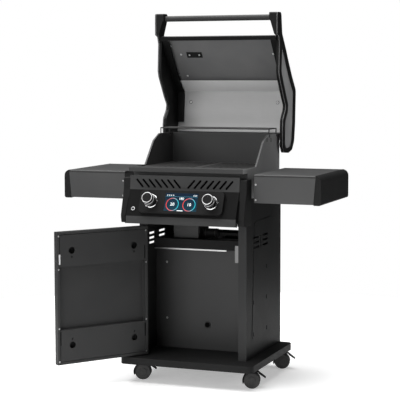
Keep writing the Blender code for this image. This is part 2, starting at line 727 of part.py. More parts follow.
# ------------------------------------------------------------------------ door
def build_door(root):
    """Folded pan door, hinged on its left edge, held open at rest."""
    axis = add_carrier("door_axis", (DOOR_PIN_X, DOOR_PIN_Y, 0), root, -DOOR_OPEN)
    half = DOOR_WIDTH / 2
    front = DOOR_INNER_Y - DOOR_THICK
    rim = DOOR_RIM
    pan = box_mesh((-half, front, DOOR_BOTTOM), (half, DOOR_INNER_Y, DOOR_TOP))
    hollow = box_mesh((-half + rim, front + SHEET, DOOR_BOTTOM + rim),
                      (half - rim, DOOR_INNER_Y + SHEET, DOOR_TOP - rim))
    panel = make_piece("door_panel", cut(pan, hollow), CHARCOAL, axis)
    soften(panel, 0.0012, 1)

    plate_half = half - rim - RUN
    for name, low, slot_side in (("top", DOOR_TOP - rim - RUN - PLATE_HEIGHT, -1),
                                 ("bottom", DOOR_BOTTOM + rim + RUN, 1)):
        high = low + PLATE_HEIGHT
        hole_z = (low + high) / 2
        loops = [[(-plate_half, low), (plate_half, low), (plate_half, high), (-plate_half, high)]]
        for x in (-PLATE_HOLE_X, PLATE_HOLE_X):
            loops.append(arc((x, hole_z), PLATE_HOLE_RADIUS, 0, 345, 16))
            slot_z = hole_z + slot_side * PLATE_SLOT_GAP
            loops.append(rounded_box((x - 0.003, slot_z - 0.005), (x + 0.003, slot_z + 0.005),
                                     0.0028, 2))
        plate = outline_mesh(loops, "XZ", DOOR_INNER_Y - PLATE_THICK, DOOR_INNER_Y)
        web_low = (-plate_half, front + SHEET + TOUCH, low)
        web = box_mesh(web_low, (plate_half, DOOR_INNER_Y - PLATE_THICK / 2, low + PLATE_THICK))
        if slot_side > 0:
            web.transform(Matrix.Translation((0, 0, PLATE_HEIGHT - PLATE_THICK)))
        make_piece("door_bracket_" + name, join(plate, web), CHARCOAL, axis, smooth=False)

    grip_x = half - DOOR_HANDLE_INSET
    y = front - TOUCH
    reach = y - DOOR_HANDLE_REACH
    high = DOOR_TOP - DOOR_HANDLE_DROP
    low = high - DOOR_HANDLE_LENGTH
    thick = DOOR_HANDLE_BAR
    bar = round_corners([(y, low), (reach, low), (reach, high), (y, high)],
                        [0, 1.5 * thick, 1.5 * thick, 0], 4)
    inner = round_corners([(y, low + thick), (reach + thick, low + thick),
                           (reach + thick, high - thick), (y, high - thick)],
                          [0, thick * 0.8, thick * 0.8, 0], 4)
    grip = outline_mesh([bar + list(reversed(inner))], "YZ", grip_x - DOOR_HANDLE_WIDTH / 2,
                        grip_x + DOOR_HANDLE_WIDTH / 2)
    soften(make_piece("door_handle", grip, STEEL, axis), 0.002, 1)


# --------------------------------------------------------------------- firebox
def build_firebox(root):
    half = FIREBOX_WIDTH / 2
    outer = [(FIREBOX_FRONT, FIREBOX_BOTTOM), (FIREBOX_REAR, FIREBOX_BOTTOM),
             (FIREBOX_REAR, SIDE_WALL_Z), (FIREBOX_REAR - 0.162, SIDE_WALL_Z),
             (FIREBOX_REAR - 0.227, SIDE_WALL_Z - 0.028),
             (FIREBOX_REAR - 0.3195, RIM_Z), (RIM_FRONT, RIM_Z), (RIM_FRONT, RIM_Z - RIM_DROP),
             (FIREBOX_FRONT, RIM_Z - RIM_DROP)]
    body = outline_mesh([outer], "YZ", -half, half)
    wall = FIREBOX_WALL
    bowl = box_mesh((-half + wall, FIREBOX_FRONT + wall, FIREBOX_BOTTOM + wall),
                    (half - wall, FIREBOX_REAR - wall, SIDE_WALL_Z + 0.1))
    mouth_y = FIREBOX_REAR / 2
    drain = box_mesh((-GREASE_SLOT / 2, mouth_y - GREASE_SLOT / 2, FIREBOX_BOTTOM - 0.01),
                     (GREASE_SLOT / 2, mouth_y + GREASE_SLOT / 2, FIREBOX_BOTTOM + 2 * wall))
    notches = []
    for y in (RACK_FRONT, RACK_REAR):
        low = (-half - 0.01, y - 0.005, SIDE_WALL_Z - RACK_NOTCH)
        notches.append(box_mesh(low, (-half + wall + 0.01, y + 0.005, SIDE_WALL_Z + 0.01)))
        twin = (half - wall - 0.01, y - 0.005, SIDE_WALL_Z - RACK_NOTCH)
        notches.append(box_mesh(twin, (half + 0.01, y + 0.005, SIDE_WALL_Z + 0.01)))
    inner_half = half - wall - RUN
    grid_top = RIM_Z - GRID_DROP
    grid_front = FIREBOX_FRONT + wall + RUN
    grid_rear = FIREBOX_REAR - wall - RUN
    ledge_top = grid_top - GRID_THICK - TOUCH
    rails = []
    for side in (-1, 1):
        x_near, x_far = sorted((side * (half - wall / 2), side * (half - wall - LEDGE_WIDTH)))
        rails.append(box_mesh((x_near, FIREBOX_FRONT + wall / 2, ledge_top - LEDGE_HEIGHT),
                              (x_far, FIREBOX_REAR - wall / 2, ledge_top)))
    firebox = join(cut(body, bowl, drain, *notches), *rails)
    make_piece("firebox", firebox, BLACK, root)

    frame = GRID_FRAME
    bar = GRID_BAR_WIDTH
    pitch = (inner_half - RUN / 2 - 2 * frame) / GRID_BARS
    grid = [[(RUN / 2, grid_front), (inner_half, grid_front), (inner_half, grid_rear),
             (RUN / 2, grid_rear)]]
    for index in range(GRID_BARS):
        left = RUN / 2 + frame + pitch * index + bar / 2
        right = left + pitch - bar
        grid.append([(left, grid_front + frame), (right, grid_front + frame),
                     (right, grid_rear - frame), (left, grid_rear - frame)])
    lattice = outline_mesh(grid, "XY", grid_top - GRID_THICK, grid_top)
    for name, side in SIDES:
        make_piece("cooking_grid_" + name, side_mesh(lattice, side), IRON, root, smooth=False)

    inner_front = FIREBOX_FRONT + wall + TOUCH
    inner_rear = FIREBOX_REAR - wall - TOUCH
    for name, side in SIDES:
        x = side * BURNER_X
        tent = [(x - TENT_WIDTH / 2, TENT_Z), (x, TENT_Z + TENT_HEIGHT),
                (x + TENT_WIDTH / 2, TENT_Z), (x + TENT_WIDTH / 2 - TENT_SHEET, TENT_Z),
                (x, TENT_Z + TENT_HEIGHT - TENT_SHEET), (x - TENT_WIDTH / 2 + TENT_SHEET, TENT_Z)]
        tents = outline_mesh([tent], "XZ", inner_front, inner_rear)
        make_piece("heat_plate_" + name, tents, STEEL, root, smooth=False)
        tube = rod_mesh((x, inner_front, BURNER_Z), (x, inner_rear, BURNER_Z), BURNER_RADIUS, 16)
        make_piece("burner_" + name, tube, STEEL, root)


def build_warming_rack(root):
    """Welded wire rack that stands on its legs in the side walls' notches."""
    half = FIREBOX_WIDTH / 2 - FIREBOX_WALL / 2
    foot = SIDE_WALL_Z - RACK_NOTCH + TOUCH
    frame = [(-half, RACK_FRONT, RACK_Z), (half, RACK_FRONT, RACK_Z), (half, RACK_REAR, RACK_Z),
             (-half, RACK_REAR, RACK_Z)]
    rack = tube_mesh(frame, RACK_WIRE, 1, closed=True)
    extras = []
    for index in range(1, RACK_BARS + 1):
        y = RACK_FRONT + (RACK_REAR - RACK_FRONT) * index / (RACK_BARS + 1)
        extras.append(rod_mesh((-half, y, RACK_Z), (half, y, RACK_Z), RACK_WIRE * 0.7, 6))
    for x in (-half, half):
        for y in (RACK_FRONT, RACK_REAR):
            extras.append(rod_mesh((x, y, foot), (x, y, RACK_Z), RACK_WIRE * 0.9, 8))
    make_piece("warming_rack", join(rack, *extras), STEEL, root)


# --------------------------------------------------------------- control panel
def build_control_panel(root):
    half = PANEL_WIDTH / 2
    face = [(PANEL_TOP_Y, PANEL_TOP_Z), (PANEL_BEND_Y, PANEL_BEND_Z),
            (PANEL_LOW_Y, PANEL_LOW_Z), (PANEL_LOW_Y, PANEL_FOOT_Z)]
    back = [(PANEL_LOW_Y + SHEET, PANEL_FOOT_Z), (PANEL_LOW_Y + SHEET, PANEL_LOW_Z),
            (PANEL_BEND_Y + SHEET, PANEL_BEND_Z), (PANEL_TOP_Y + SHEET, PANEL_TOP_Z)]
    sheet = outline_mesh([face + back], "YZ", -half, half)
    slots = []
    slot_z = PANEL_TOP_Z - SLOT_TOP_DROP
    for side in (-1, 1):
        for index in range(SLOT_COUNT):
            x = side * (SLOT_FIRST_X + SLOT_PITCH * index)
            slots.append(slanted_slot((x, slot_z), side * SLOT_LEAN, SLOT_RISE, SLOT_WIDTH))
    vents = outline_mesh(slots, "XZ", PANEL_BEND_Y - 0.02, PANEL_TOP_Y + 0.02)
    bores = []
    for x in (-KNOB_X, KNOB_X):
        start = panel_point(x, KNOB_ALONG, -0.02)
        end = panel_point(x, KNOB_ALONG, BEZEL_THICK + 0.02)
        bores.append(rod_mesh(start, end, SPINDLE_RADIUS + 2 * RUN, 16))
    plunge = BUTTON_RADIUS - BUTTON_LIP
    start = panel_point(BUTTON_X, BUTTON_ALONG, -0.02)
    end = panel_point(BUTTON_X, BUTTON_ALONG, 0.02)
    bores.append(rod_mesh(start, end, plunge, 16))
    fascia = cut(sheet, vents, *[bore.copy() for bore in bores])
    make_piece("control_panel", fascia, CHARCOAL, root, smooth=False)

    across = BEZEL_HEIGHT / 2
    plate = rounded_box((-BEZEL_WIDTH / 2, -across), (BEZEL_WIDTH / 2, across), BEZEL_CORNER)
    bezel = outline_mesh([plate], "XY", TOUCH, BEZEL_THICK)
    bezel.transform(panel_matrix(0, KNOB_ALONG))
    deep = BEZEL_THICK - SCREEN_THICK - SCREEN_SUNK
    pocket = box_mesh((-SCREEN_WIDTH / 2 - TOUCH, -SCREEN_HEIGHT / 2 - TOUCH, deep - TOUCH),
                      (SCREEN_WIDTH / 2 + TOUCH, SCREEN_HEIGHT / 2 + TOUCH, BEZEL_THICK + 0.01))
    pocket.transform(panel_matrix(0, KNOB_ALONG))
    make_piece("display_bezel", cut(bezel, pocket, *bores[:2]), PLASTIC, root)

    glass = box_mesh((-SCREEN_WIDTH / 2, -SCREEN_HEIGHT / 2, deep),
                     (SCREEN_WIDTH / 2, SCREEN_HEIGHT / 2, BEZEL_THICK - SCREEN_SUNK))
    glass.transform(panel_matrix(0, KNOB_ALONG))
    make_piece("display_screen", glass, SCREEN, root, smooth=False)

    cap_inner = half + TOUCH
    cap_outer = cap_inner + CAP_WIDTH
    cap_rear = min(FIREBOX_FRONT, CART_FRONT) - RUN
    cap_top = PANEL_TOP_Z - CAP_TOP_DROP
    outline = [(PANEL_TOP_Y + CAP_SET_BACK, cap_top),
               (PANEL_BEND_Y + CAP_SET_BACK, PANEL_BEND_Z),
               (PANEL_LOW_Y + CAP_LOW_SET_BACK, PANEL_LOW_Z),
               (PANEL_LOW_Y + CAP_FOOT_SET_BACK, PANEL_FOOT_Z),
               (cap_rear, PANEL_FOOT_Z), (cap_rear, cap_top)]
    outline = round_corners(outline, [0.006, 0.03, 0.03, 0.008, 0.004, 0.004], 3)
    cap = outline_mesh([outline], "YZ", cap_inner, cap_outer)
    for name, side in SIDES:
        soften(make_piece("control_cap_" + name, side_mesh(cap, side), PLASTIC, root), 0.003, 1)


def build_knobs(root):
    """Two knobs that turn on spindles, which push in against their valves."""
    ring_low = BEZEL_THICK + TOUCH
    ring_high = ring_low + KNOB_RING_THICK
    hole = SPINDLE_RADIUS + RUN
    low = ring_high + KNOB_TRAVEL + RUN
    high = low + KNOB_LENGTH
    socket = low + KNOB_SOCKET
    tail = -SPINDLE_TAIL
    valve_top = tail - KNOB_TRAVEL - RUN
    for name, side in SIDES:
        x = side * KNOB_X
        ring = turned_mesh([(hole, ring_high), (KNOB_RING_RADIUS - 0.002, ring_high),
                            (KNOB_RING_RADIUS, ring_high - 0.002), (KNOB_RING_RADIUS, ring_low),
                            (hole, ring_low), (hole, ring_high)], 28)
        ring.transform(panel_matrix(x, KNOB_ALONG))
        make_piece("knob_ring_" + name, ring, CHROME, root)

        push = add_carrier("push_axis_" + name, panel_point(x, KNOB_ALONG, low), root)
        tip = socket - TOUCH
        spindle = rod_mesh(panel_point(x, KNOB_ALONG, tail), panel_point(x, KNOB_ALONG, tip),
                           SPINDLE_RADIUS, 16)
        make_piece("knob_spindle_" + name, spindle, BRASS, push)

        bore = SPINDLE_RADIUS + TOUCH
        knob = turned_mesh([(0, high), (KNOB_RADIUS - 0.003, high), (KNOB_RADIUS, high - 0.003),
                            (KNOB_RADIUS, high - 0.010), (KNOB_RADIUS - 0.002, low), (bore, low),
                            (bore, socket), (0, socket)], 28)
        knob.transform(panel_matrix(x, KNOB_ALONG))
        axis = add_carrier("knob_axis_" + name, panel_point(x, KNOB_ALONG, high), push)
        make_piece("knob_" + name, knob, CHROME, axis)

    pipe_out = valve_top - VALVE_LENGTH
    pipe = panel_point(0, KNOB_ALONG, pipe_out)
    valves = []
    for x in (-KNOB_X, KNOB_X):
        valves.append(rod_mesh(panel_point(x, KNOB_ALONG, pipe_out),
                               panel_point(x, KNOB_ALONG, valve_top), VALVE_RADIUS, 12))
    reach = PANEL_WIDTH / 2
    manifold = rod_mesh((-reach, pipe.y, pipe.z), (reach, pipe.y, pipe.z), PIPE_RADIUS, 12)
    make_piece("gas_manifold", join(manifold, *valves), BRASS, root)


def build_button(root):
    """Ignition and light button, which presses in against a spring."""
    axis = add_carrier("button_axis", panel_point(BUTTON_X, BUTTON_ALONG, BUTTON_PROUD), root)
    stem = BUTTON_RADIUS - BUTTON_LIP - RUN / 2
    under = TOUCH + BUTTON_TRAVEL
    button = turned_mesh([(0, BUTTON_PROUD), (BUTTON_RADIUS - 0.001, BUTTON_PROUD),
                          (BUTTON_RADIUS, BUTTON_PROUD - 0.001), (BUTTON_RADIUS, under),
                          (stem, under), (stem, -BUTTON_STEM), (0, -BUTTON_STEM)], 24)
    button.transform(panel_matrix(BUTTON_X, BUTTON_ALONG))
    make_piece("power_button", button, CHROME, axis)


# --------------------------------------------------------------------- shelves
def build_shelves(root):
    """Two drop-down side shelves, each a folded pan with a moulded end."""
    end_top = SHELF_OUTER - SHELF_END_WIDTH
    end_foot = end_top - SHELF_END_LEAN
    section = round_corners([(0, SHELF_BOTTOM), (SHELF_DEPTH, SHELF_BOTTOM),
                             (SHELF_DEPTH, SHELF_TOP), (0, SHELF_TOP)],
                            [0, 0, SHELF_EDGE_ROUND, SHELF_EDGE_ROUND], 3)
    pan = outline_mesh([section], "YZ", SHELF_INNER, SHELF_OUTER)
    past = SHEET + TOUCH
    trim = outline_mesh([[(end_foot - TOUCH, SHELF_BOTTOM), (end_top - TOUCH, SHELF_TOP),
                          (end_top, SHELF_TOP + past), (SHELF_OUTER + past, SHELF_TOP + past),
                          (SHELF_OUTER + past, SHELF_BOTTOM - past),
                          (end_foot - TOUCH, SHELF_BOTTOM - past)]],
                        "XZ", -past, SHELF_DEPTH + past)
    hollow = outline_mesh([[(SHELF_INNER + SHEET, SHELF_BOTTOM - past),
                            (end_foot - past, SHELF_BOTTOM - past), (end_foot - past, SHELF_BOTTOM),
                            (end_top - past, SHELF_TOP - SHEET),
                            (SHELF_INNER + SHEET, SHELF_TOP - SHEET)]],
                          "XZ", SHEET, SHELF_DEPTH - SHEET)
    shelf = cut(pan, trim, hollow)
    foot = SHELF_BOTTOM - SHELF_END_DROP
    profile = round_corners([(end_foot, foot), (SHELF_OUTER, foot), (SHELF_OUTER, SHELF_TOP),
                             (end_top, SHELF_TOP), (end_foot, SHELF_BOTTOM)],
                            [0, SHELF_END_ROUND / 3, SHELF_END_ROUND, 0, 0], 5)
    cap = outline_mesh([profile], "XZ", 0, SHELF_DEPTH)
    for name, side in SIDES:
        place = (side * SHELF_INNER, SHELF_DEPTH / 2, SHELF_BOTTOM)
        axis = add_carrier("shelf_axis_" + name, place, root)
        piece = make_piece("shelf_" + name, side_mesh(shelf, side), CHARCOAL, axis)
        soften(piece, 0.0015, 1, 60)
        end = make_piece("shelf_end_" + name, side_mesh(cap, side), BLACK, axis)
        soften(end, 0.0012, 1, 60)


# ---------------------------------------------------------------- grease parts
def build_grease_parts(root):
    """Grease tray on runners, which slides out to the rear, with its cup."""
    axis = add_carrier("tray_axis", (0, TRAY_FRONT + TRAY_DEPTH / 2, TRAY_TOP), root)
    half = TRAY_WIDTH / 2
    low = TRAY_TOP - TRAY_HEIGHT
    rear = TRAY_FRONT + TRAY_DEPTH
    tray = box_mesh((-half, TRAY_FRONT, low), (half, rear, TRAY_TOP))
    hollow = box_mesh((-half + SHEET, TRAY_FRONT + SHEET, low + SHEET),
                      (half - SHEET, rear - SHEET, TRAY_TOP + 0.01))
    drop = rod_mesh((0, DRIP_Y, low - SHEET), (0, DRIP_Y, low + 2 * SHEET), DRIP_HOLE_RADIUS, 12)
    make_piece("grease_tray", cut(tray, hollow, drop), STEEL, axis, smooth=False)

    cup_top = low - TOUCH
    cup_foot = cup_top - CUP_HEIGHT
    inside = CUP_RADIUS - SHEET
    cup = turned_mesh([(0, cup_foot + SHEET), (inside, cup_foot + SHEET), (inside, cup_top),
                       (CUP_RADIUS, cup_top), (CUP_RADIUS, cup_foot), (0, cup_foot)], 24)
    cup.transform(Matrix.Translation((0, DRIP_Y, 0)))
    make_piece("grease_cup", cup, BLACK, axis)

    inner = half + RUN
    top = CART_TOP - TOUCH
    under = low - 2 * TOUCH
    foot = under - SHEET
    profile = [(inner, top), (INNER_HALF, top), (INNER_HALF, top - RUNNER_TOP),
               (inner + SHEET, top - RUNNER_TOP), (inner + SHEET, foot),
               (inner - RUNNER_LIP, foot), (inner - RUNNER_LIP, under), (inner, under)]
    runner = outline_mesh([profile], "XZ", TRAY_FRONT + RUNNER_FRONT_SET, rear)
    for name, side in SIDES:
        make_piece("tray_runner_" + name, side_mesh(runner, side), BLACK, root, smooth=False)


# ------------------------------------------------------------------------- lid
def build_lid(root):
    axis = add_carrier("lid_axis", (0, HINGE_Y, HINGE_Z), root, about="X")
    outer = LID_OUTER_X
    outline = lid_cap_outline()
    cap = outline_mesh([outline], "YZ", LID_INNER_X, outer)

    arm = [lid_point(HANDLE_FORWARD + 0.028, 0.484),
           lid_point(HANDLE_FORWARD + 0.028, HANDLE_UP + 0.022),
           lid_point(HANDLE_FORWARD - 0.022, HANDLE_UP + 0.022), lid_point(0.046, 0.486),
           lid_point(0.050, 0.450), lid_point(0.070, 0.430), lid_point(0.086, 0.476)]
    arm = round_corners(arm, [0.004, 0.008, 0.014, 0.004, 0.004, 0.004, 0.004], 3)
    wing = outline_mesh([arm], "YZ", outer - HANDLE_ARM_WIDTH, outer)
    taper = box_mesh((-0.1, -0.2, -0.3), (0, 0.2, 0))
    taper.transform(Matrix.Translation((outer - HANDLE_ARM_WIDTH + 0.004, HINGE_Y - 0.05,
                                        HINGE_Z + HANDLE_UP - 0.010))
                    @ Matrix.Rotation(-HANDLE_ARM_LEAN, 4, "Y"))
    wing = cut(wing, taper)
    socket_y, socket_z = lid_point(HANDLE_FORWARD, HANDLE_UP)
    arm_inner = outer - HANDLE_ARM_WIDTH
    rib_line = lid_rear_line()[:-1]
    rib_start = LID_SHELL_INSET + LID_SHEET + 0.014
    rib = outline_mesh([band(rib_line, rib_start, rib_start + 0.005)], "YZ",
                       LID_INNER_X - LID_RIB, LID_INNER_X + LID_CAP_THICK / 2)
    cap = join(cap, wing, rib)

    recess = outline_mesh([lid_recess_outline()], "YZ", outer - LID_RECESS,
                          outer + LID_CAP_THICK)
    cap = cut(cap, recess)
    for name, side in SIDES:
        piece = make_piece("lid_cap_" + name, side_mesh(cap, side), BLACK, axis)
        soften(piece, 0.0015, 1, 50)

    rear = lid_rear_line()
    shell_half = LID_INNER_X - TOUCH
    skin = band(rear, LID_SHELL_INSET, LID_SHELL_INSET + LID_SHEET)
    edge_y, edge_z = inset_line(rear, LID_SHELL_INSET)[0]
    hem_y = edge_y - HEM_DEPTH
    hem = [(edge_y + 0.004, edge_z - 0.003), (edge_y - 0.001, edge_z + 0.004), (hem_y, edge_z),
           (hem_y, edge_z - HEM_DROP), (hem_y + LID_SHEET, edge_z - HEM_DROP),
           (hem_y + LID_SHEET, edge_z - LID_SHEET), (edge_y - 0.002, edge_z - 0.004)]
    shell = join(outline_mesh([skin], "YZ", -shell_half, shell_half),
                 outline_mesh([hem], "YZ", -shell_half, shell_half))
    soften(make_piece("lid_shell", shell, GRAPHITE, axis), 0.0008, 1, 60)

    inside = LID_SHELL_INSET + LID_SHEET + LID_SHIELD_GAP
    lower = [lid_point(-0.096, 0.300), lid_point(-0.158, 0.238), lid_point(-0.150, 0.088),
             lid_point(-0.136, 0.040)]
    shield = outline_mesh([band(lower, inside, inside + SHIELD_SHEET)], "YZ", -shell_half,
                          shell_half)
    make_piece("lid_heat_shield", shield, STEEL, axis, smooth=False)

    grip_half = arm_inner - TOUCH
    bar = rod_mesh((-grip_half, socket_y, socket_z), (grip_half, socket_y, socket_z),
                   HANDLE_RADIUS, 24)
    make_piece("lid_handle", bar, BLACK, axis)

    for name, side in SIDES:
        start = side * (FIREBOX_WIDTH / 2 + TOUCH)
        end = side * (LID_INNER_X - TOUCH)
        pin = rod_mesh((start, HINGE_Y, HINGE_Z), (end, HINGE_Y, HINGE_Z), PIN_RADIUS, 16)
        make_piece("lid_hinge_pin_" + name, pin, STEEL, root)


# --------------------------------------------------------------------- casters
def caster_meshes():
    """Meshes of one caster about its stem, rolling along Y with the wheel behind."""
    r = WHEEL_RADIUS
    half = WHEEL_WIDTH / 2
    slot = WHEEL_GROOVE / 2
    wheel = turned_mesh([(0, half), (r * 0.45, half), (r * 0.5, half - 0.002),
                         (r * 0.8, half - 0.002), (r - 0.004, half), (r, half - 0.004), (r, slot),
                         (WHEEL_HUB_RADIUS, slot), (WHEEL_HUB_RADIUS, -slot), (r, -slot),
                         (r, -half + 0.004), (r - 0.004, -half), (r * 0.8, -half + 0.002),
                         (r * 0.5, -half + 0.002), (r * 0.45, -half), (0, -half)], 28)
    wheel.transform(Matrix.Translation((0, CASTER_TRAIL, r)) @ Matrix.Rotation(math.pi / 2, 4, "Y"))

    centre = (CASTER_TRAIL, r)
    inner = r + RUN
    hood_outline = (arc(centre, inner + CASTER_HOOD, 55, 200, 12)
                    + list(reversed(arc(centre, inner, 55, 200, 12))))
    hood = outline_mesh([hood_outline], "YZ", -half, half)
    web_half = slot - RUN / 2
    web_outline = (arc(centre, inner + CASTER_HOOD / 2, 60, 195, 10)
                   + arc(centre, WHEEL_HUB_RADIUS + RUN + 0.004, 270, 390, 6))
    web_hole = arc(centre, WHEEL_HUB_RADIUS + RUN / 2, 0, 340, 16)
    web = outline_mesh([web_outline, web_hole], "YZ", -web_half, web_half)
    stem_low = r + math.sqrt(inner ** 2 - (CASTER_TRAIL - STEM_RADIUS) ** 2)
    stem_top = BASE_TOP - 2 * SHEET - TOUCH
    stem = rod_mesh((0, 0, stem_low), (0, 0, stem_top), STEM_RADIUS, 14)
    housing = join(hood, web, stem)

    lever_r = inner + CASTER_HOOD + 0.0012
    lever_outline = (arc(centre, lever_r, 38, 76, 5)
                     + [(CASTER_TRAIL + BRAKE_REACH * 0.35, r + lever_r * 0.97 + 0.002)]
                     + [(CASTER_TRAIL + BRAKE_REACH, r + 0.013),
                        (CASTER_TRAIL + BRAKE_REACH, r + 0.009)])
    lever = outline_mesh([lever_outline], "YZ", -half * 0.55, half * 0.55)
    return wheel, housing, lever


def build_casters(root):
    wheel, housing, lever = caster_meshes()
    places = []
    rows = (("front", BASE_FRONT + CASTER_INSET_FRONT), ("rear", CART_REAR - CASTER_INSET_REAR))
    for row, y in rows:
        for name, side in SIDES:
            places.append((row + "_" + name, side * (BASE_WIDTH / 2 - CASTER_INSET_X), y))
    for name, x, y in places:
        shift = Matrix.Translation((x, y, 0))
        swivel = add_carrier("swivel_" + name, (x, y, BASE_GROUND_GAP), root, math.radians(-75))
        axle = add_carrier("axle_" + name, (x, y + CASTER_TRAIL, WHEEL_RADIUS), swivel)
        brake = add_carrier("brake_" + name, (x, y + CASTER_TRAIL, WHEEL_RADIUS), swivel)
        for title, mesh, finish, carrier in (("caster_housing_", housing, PLASTIC, swivel),
                                             ("caster_wheel_", wheel, PLASTIC, axle),
                                             ("brake_lever_", lever, PLASTIC, brake)):
            copy = mesh.copy()
            copy.transform(shift)
            make_piece(title + name, copy, finish, carrier)


# ------------------------------------------------------------------------ main
def centre_on_origin(root):
    """Slide the whole grill along Y until the origin is under the middle of its box."""
    bpy.context.view_layer.update()
    graph = bpy.context.evaluated_depsgraph_get()
    reach = []
    for piece in PARTS.objects:
        shape = piece.evaluated_get(graph)
        reach += [(shape.matrix_world @ vertex.co).y for vertex in shape.data.vertices]
    root.location.y = -(min(reach) + max(reach)) / 2
    bpy.context.view_layer.update()


def build_grill():
    root = add_carrier("grill", (0, 0, 0))
    build_base(root)
    build_side_panels(root)
    build_cart_inside(root)
    build_door(root)
    build_firebox(root)
    build_warming_rack(root)
    build_control_panel(root)
    build_knobs(root)
    build_button(root)
    build_shelves(root)
    build_grease_parts(root)
    build_lid(root)
    build_casters(root)
    centre_on_origin(root)


build_grill()
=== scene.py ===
"""Gas barbecue grill: finishes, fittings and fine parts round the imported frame.

Metres.  +X is to the cook's right, +Y is the back and +Z is up.
"""
import json
import math

import bpy
from mathutils import Matrix, Vector


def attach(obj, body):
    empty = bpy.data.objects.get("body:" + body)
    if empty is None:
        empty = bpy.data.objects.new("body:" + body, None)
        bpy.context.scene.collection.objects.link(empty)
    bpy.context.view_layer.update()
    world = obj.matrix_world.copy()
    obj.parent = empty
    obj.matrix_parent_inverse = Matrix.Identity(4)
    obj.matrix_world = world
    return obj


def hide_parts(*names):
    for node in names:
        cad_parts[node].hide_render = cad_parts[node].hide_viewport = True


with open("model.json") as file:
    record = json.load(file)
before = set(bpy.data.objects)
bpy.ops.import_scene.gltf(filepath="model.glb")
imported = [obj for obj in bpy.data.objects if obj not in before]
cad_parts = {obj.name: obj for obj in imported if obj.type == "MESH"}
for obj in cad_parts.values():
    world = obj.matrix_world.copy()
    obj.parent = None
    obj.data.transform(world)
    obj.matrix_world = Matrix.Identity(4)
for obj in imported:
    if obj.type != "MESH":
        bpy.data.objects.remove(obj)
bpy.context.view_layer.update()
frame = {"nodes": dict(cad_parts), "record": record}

SCENE = bpy.context.scene
SIDES = (("left", -1), ("right", 1))

# ------------------------------------------------------------------ the camera
CAMERA_AT = Vector((2.11618, -5.47692, 1.32839))
CAMERA_TURN = math.radians(21.110)     # round the grill, from straight ahead
CAMERA_DIP = math.radians(5.3275)      # looking down
CAMERA_ROLL = math.radians(-0.109)
CAMERA_LENS = 123.225                  # on a 36 mm wide sensor


def add_camera():
    back = Vector((math.sin(CAMERA_TURN) * math.cos(CAMERA_DIP),
                   -math.cos(CAMERA_TURN) * math.cos(CAMERA_DIP), math.sin(CAMERA_DIP)))
    level = Vector((math.cos(CAMERA_TURN), math.sin(CAMERA_TURN), 0))
    upright = back.cross(level)
    across = level * math.cos(CAMERA_ROLL) + upright * math.sin(CAMERA_ROLL)
    up = upright * math.cos(CAMERA_ROLL) - level * math.sin(CAMERA_ROLL)
    data = bpy.data.cameras.new("camera")
    data.sensor_width = 36
    data.lens = CAMERA_LENS
    data.clip_end = 60
    camera = bpy.data.objects.new("camera", data)
    SCENE.collection.objects.link(camera)
    turn = Matrix((across, up, back)).transposed().to_4x4()
    camera.matrix_world = Matrix.Translation(CAMERA_AT) @ turn
    SCENE.camera = camera


# --------------------------------------------------------------- shader wiring
class Wire:
    """An output of a node. A sum on it adds the Math node that works it out."""

    def __init__(self, graph, socket):
        self.graph = graph
        self.socket = socket

    def maths(self, operation, first, second=0.0):
        return self.graph.add("ShaderNodeMath", {"operation": operation}, {0: first, 1: second})

    def __abs__(self):
        return self.maths("ABSOLUTE", self)

    def __add__(self, other):
        return self.maths("ADD", self, other)

    __radd__ = __add__

    def __sub__(self, other):
        return self.maths("SUBTRACT", self, other)

    def __rsub__(self, other):
        return self.maths("SUBTRACT", other, self)

    def __mul__(self, other):
        return self.maths("MULTIPLY", self, other)

    __rmul__ = __mul__

    def __gt__(self, other):
        return self.maths("GREATER_THAN", self, other)

    def over(self, low, high):
        """0 below low, 1 above high and even between."""
        return self.graph.add("ShaderNodeMapRange", {"clamp": True},
                              {"Value": self, "From Min": low, "From Max": high})


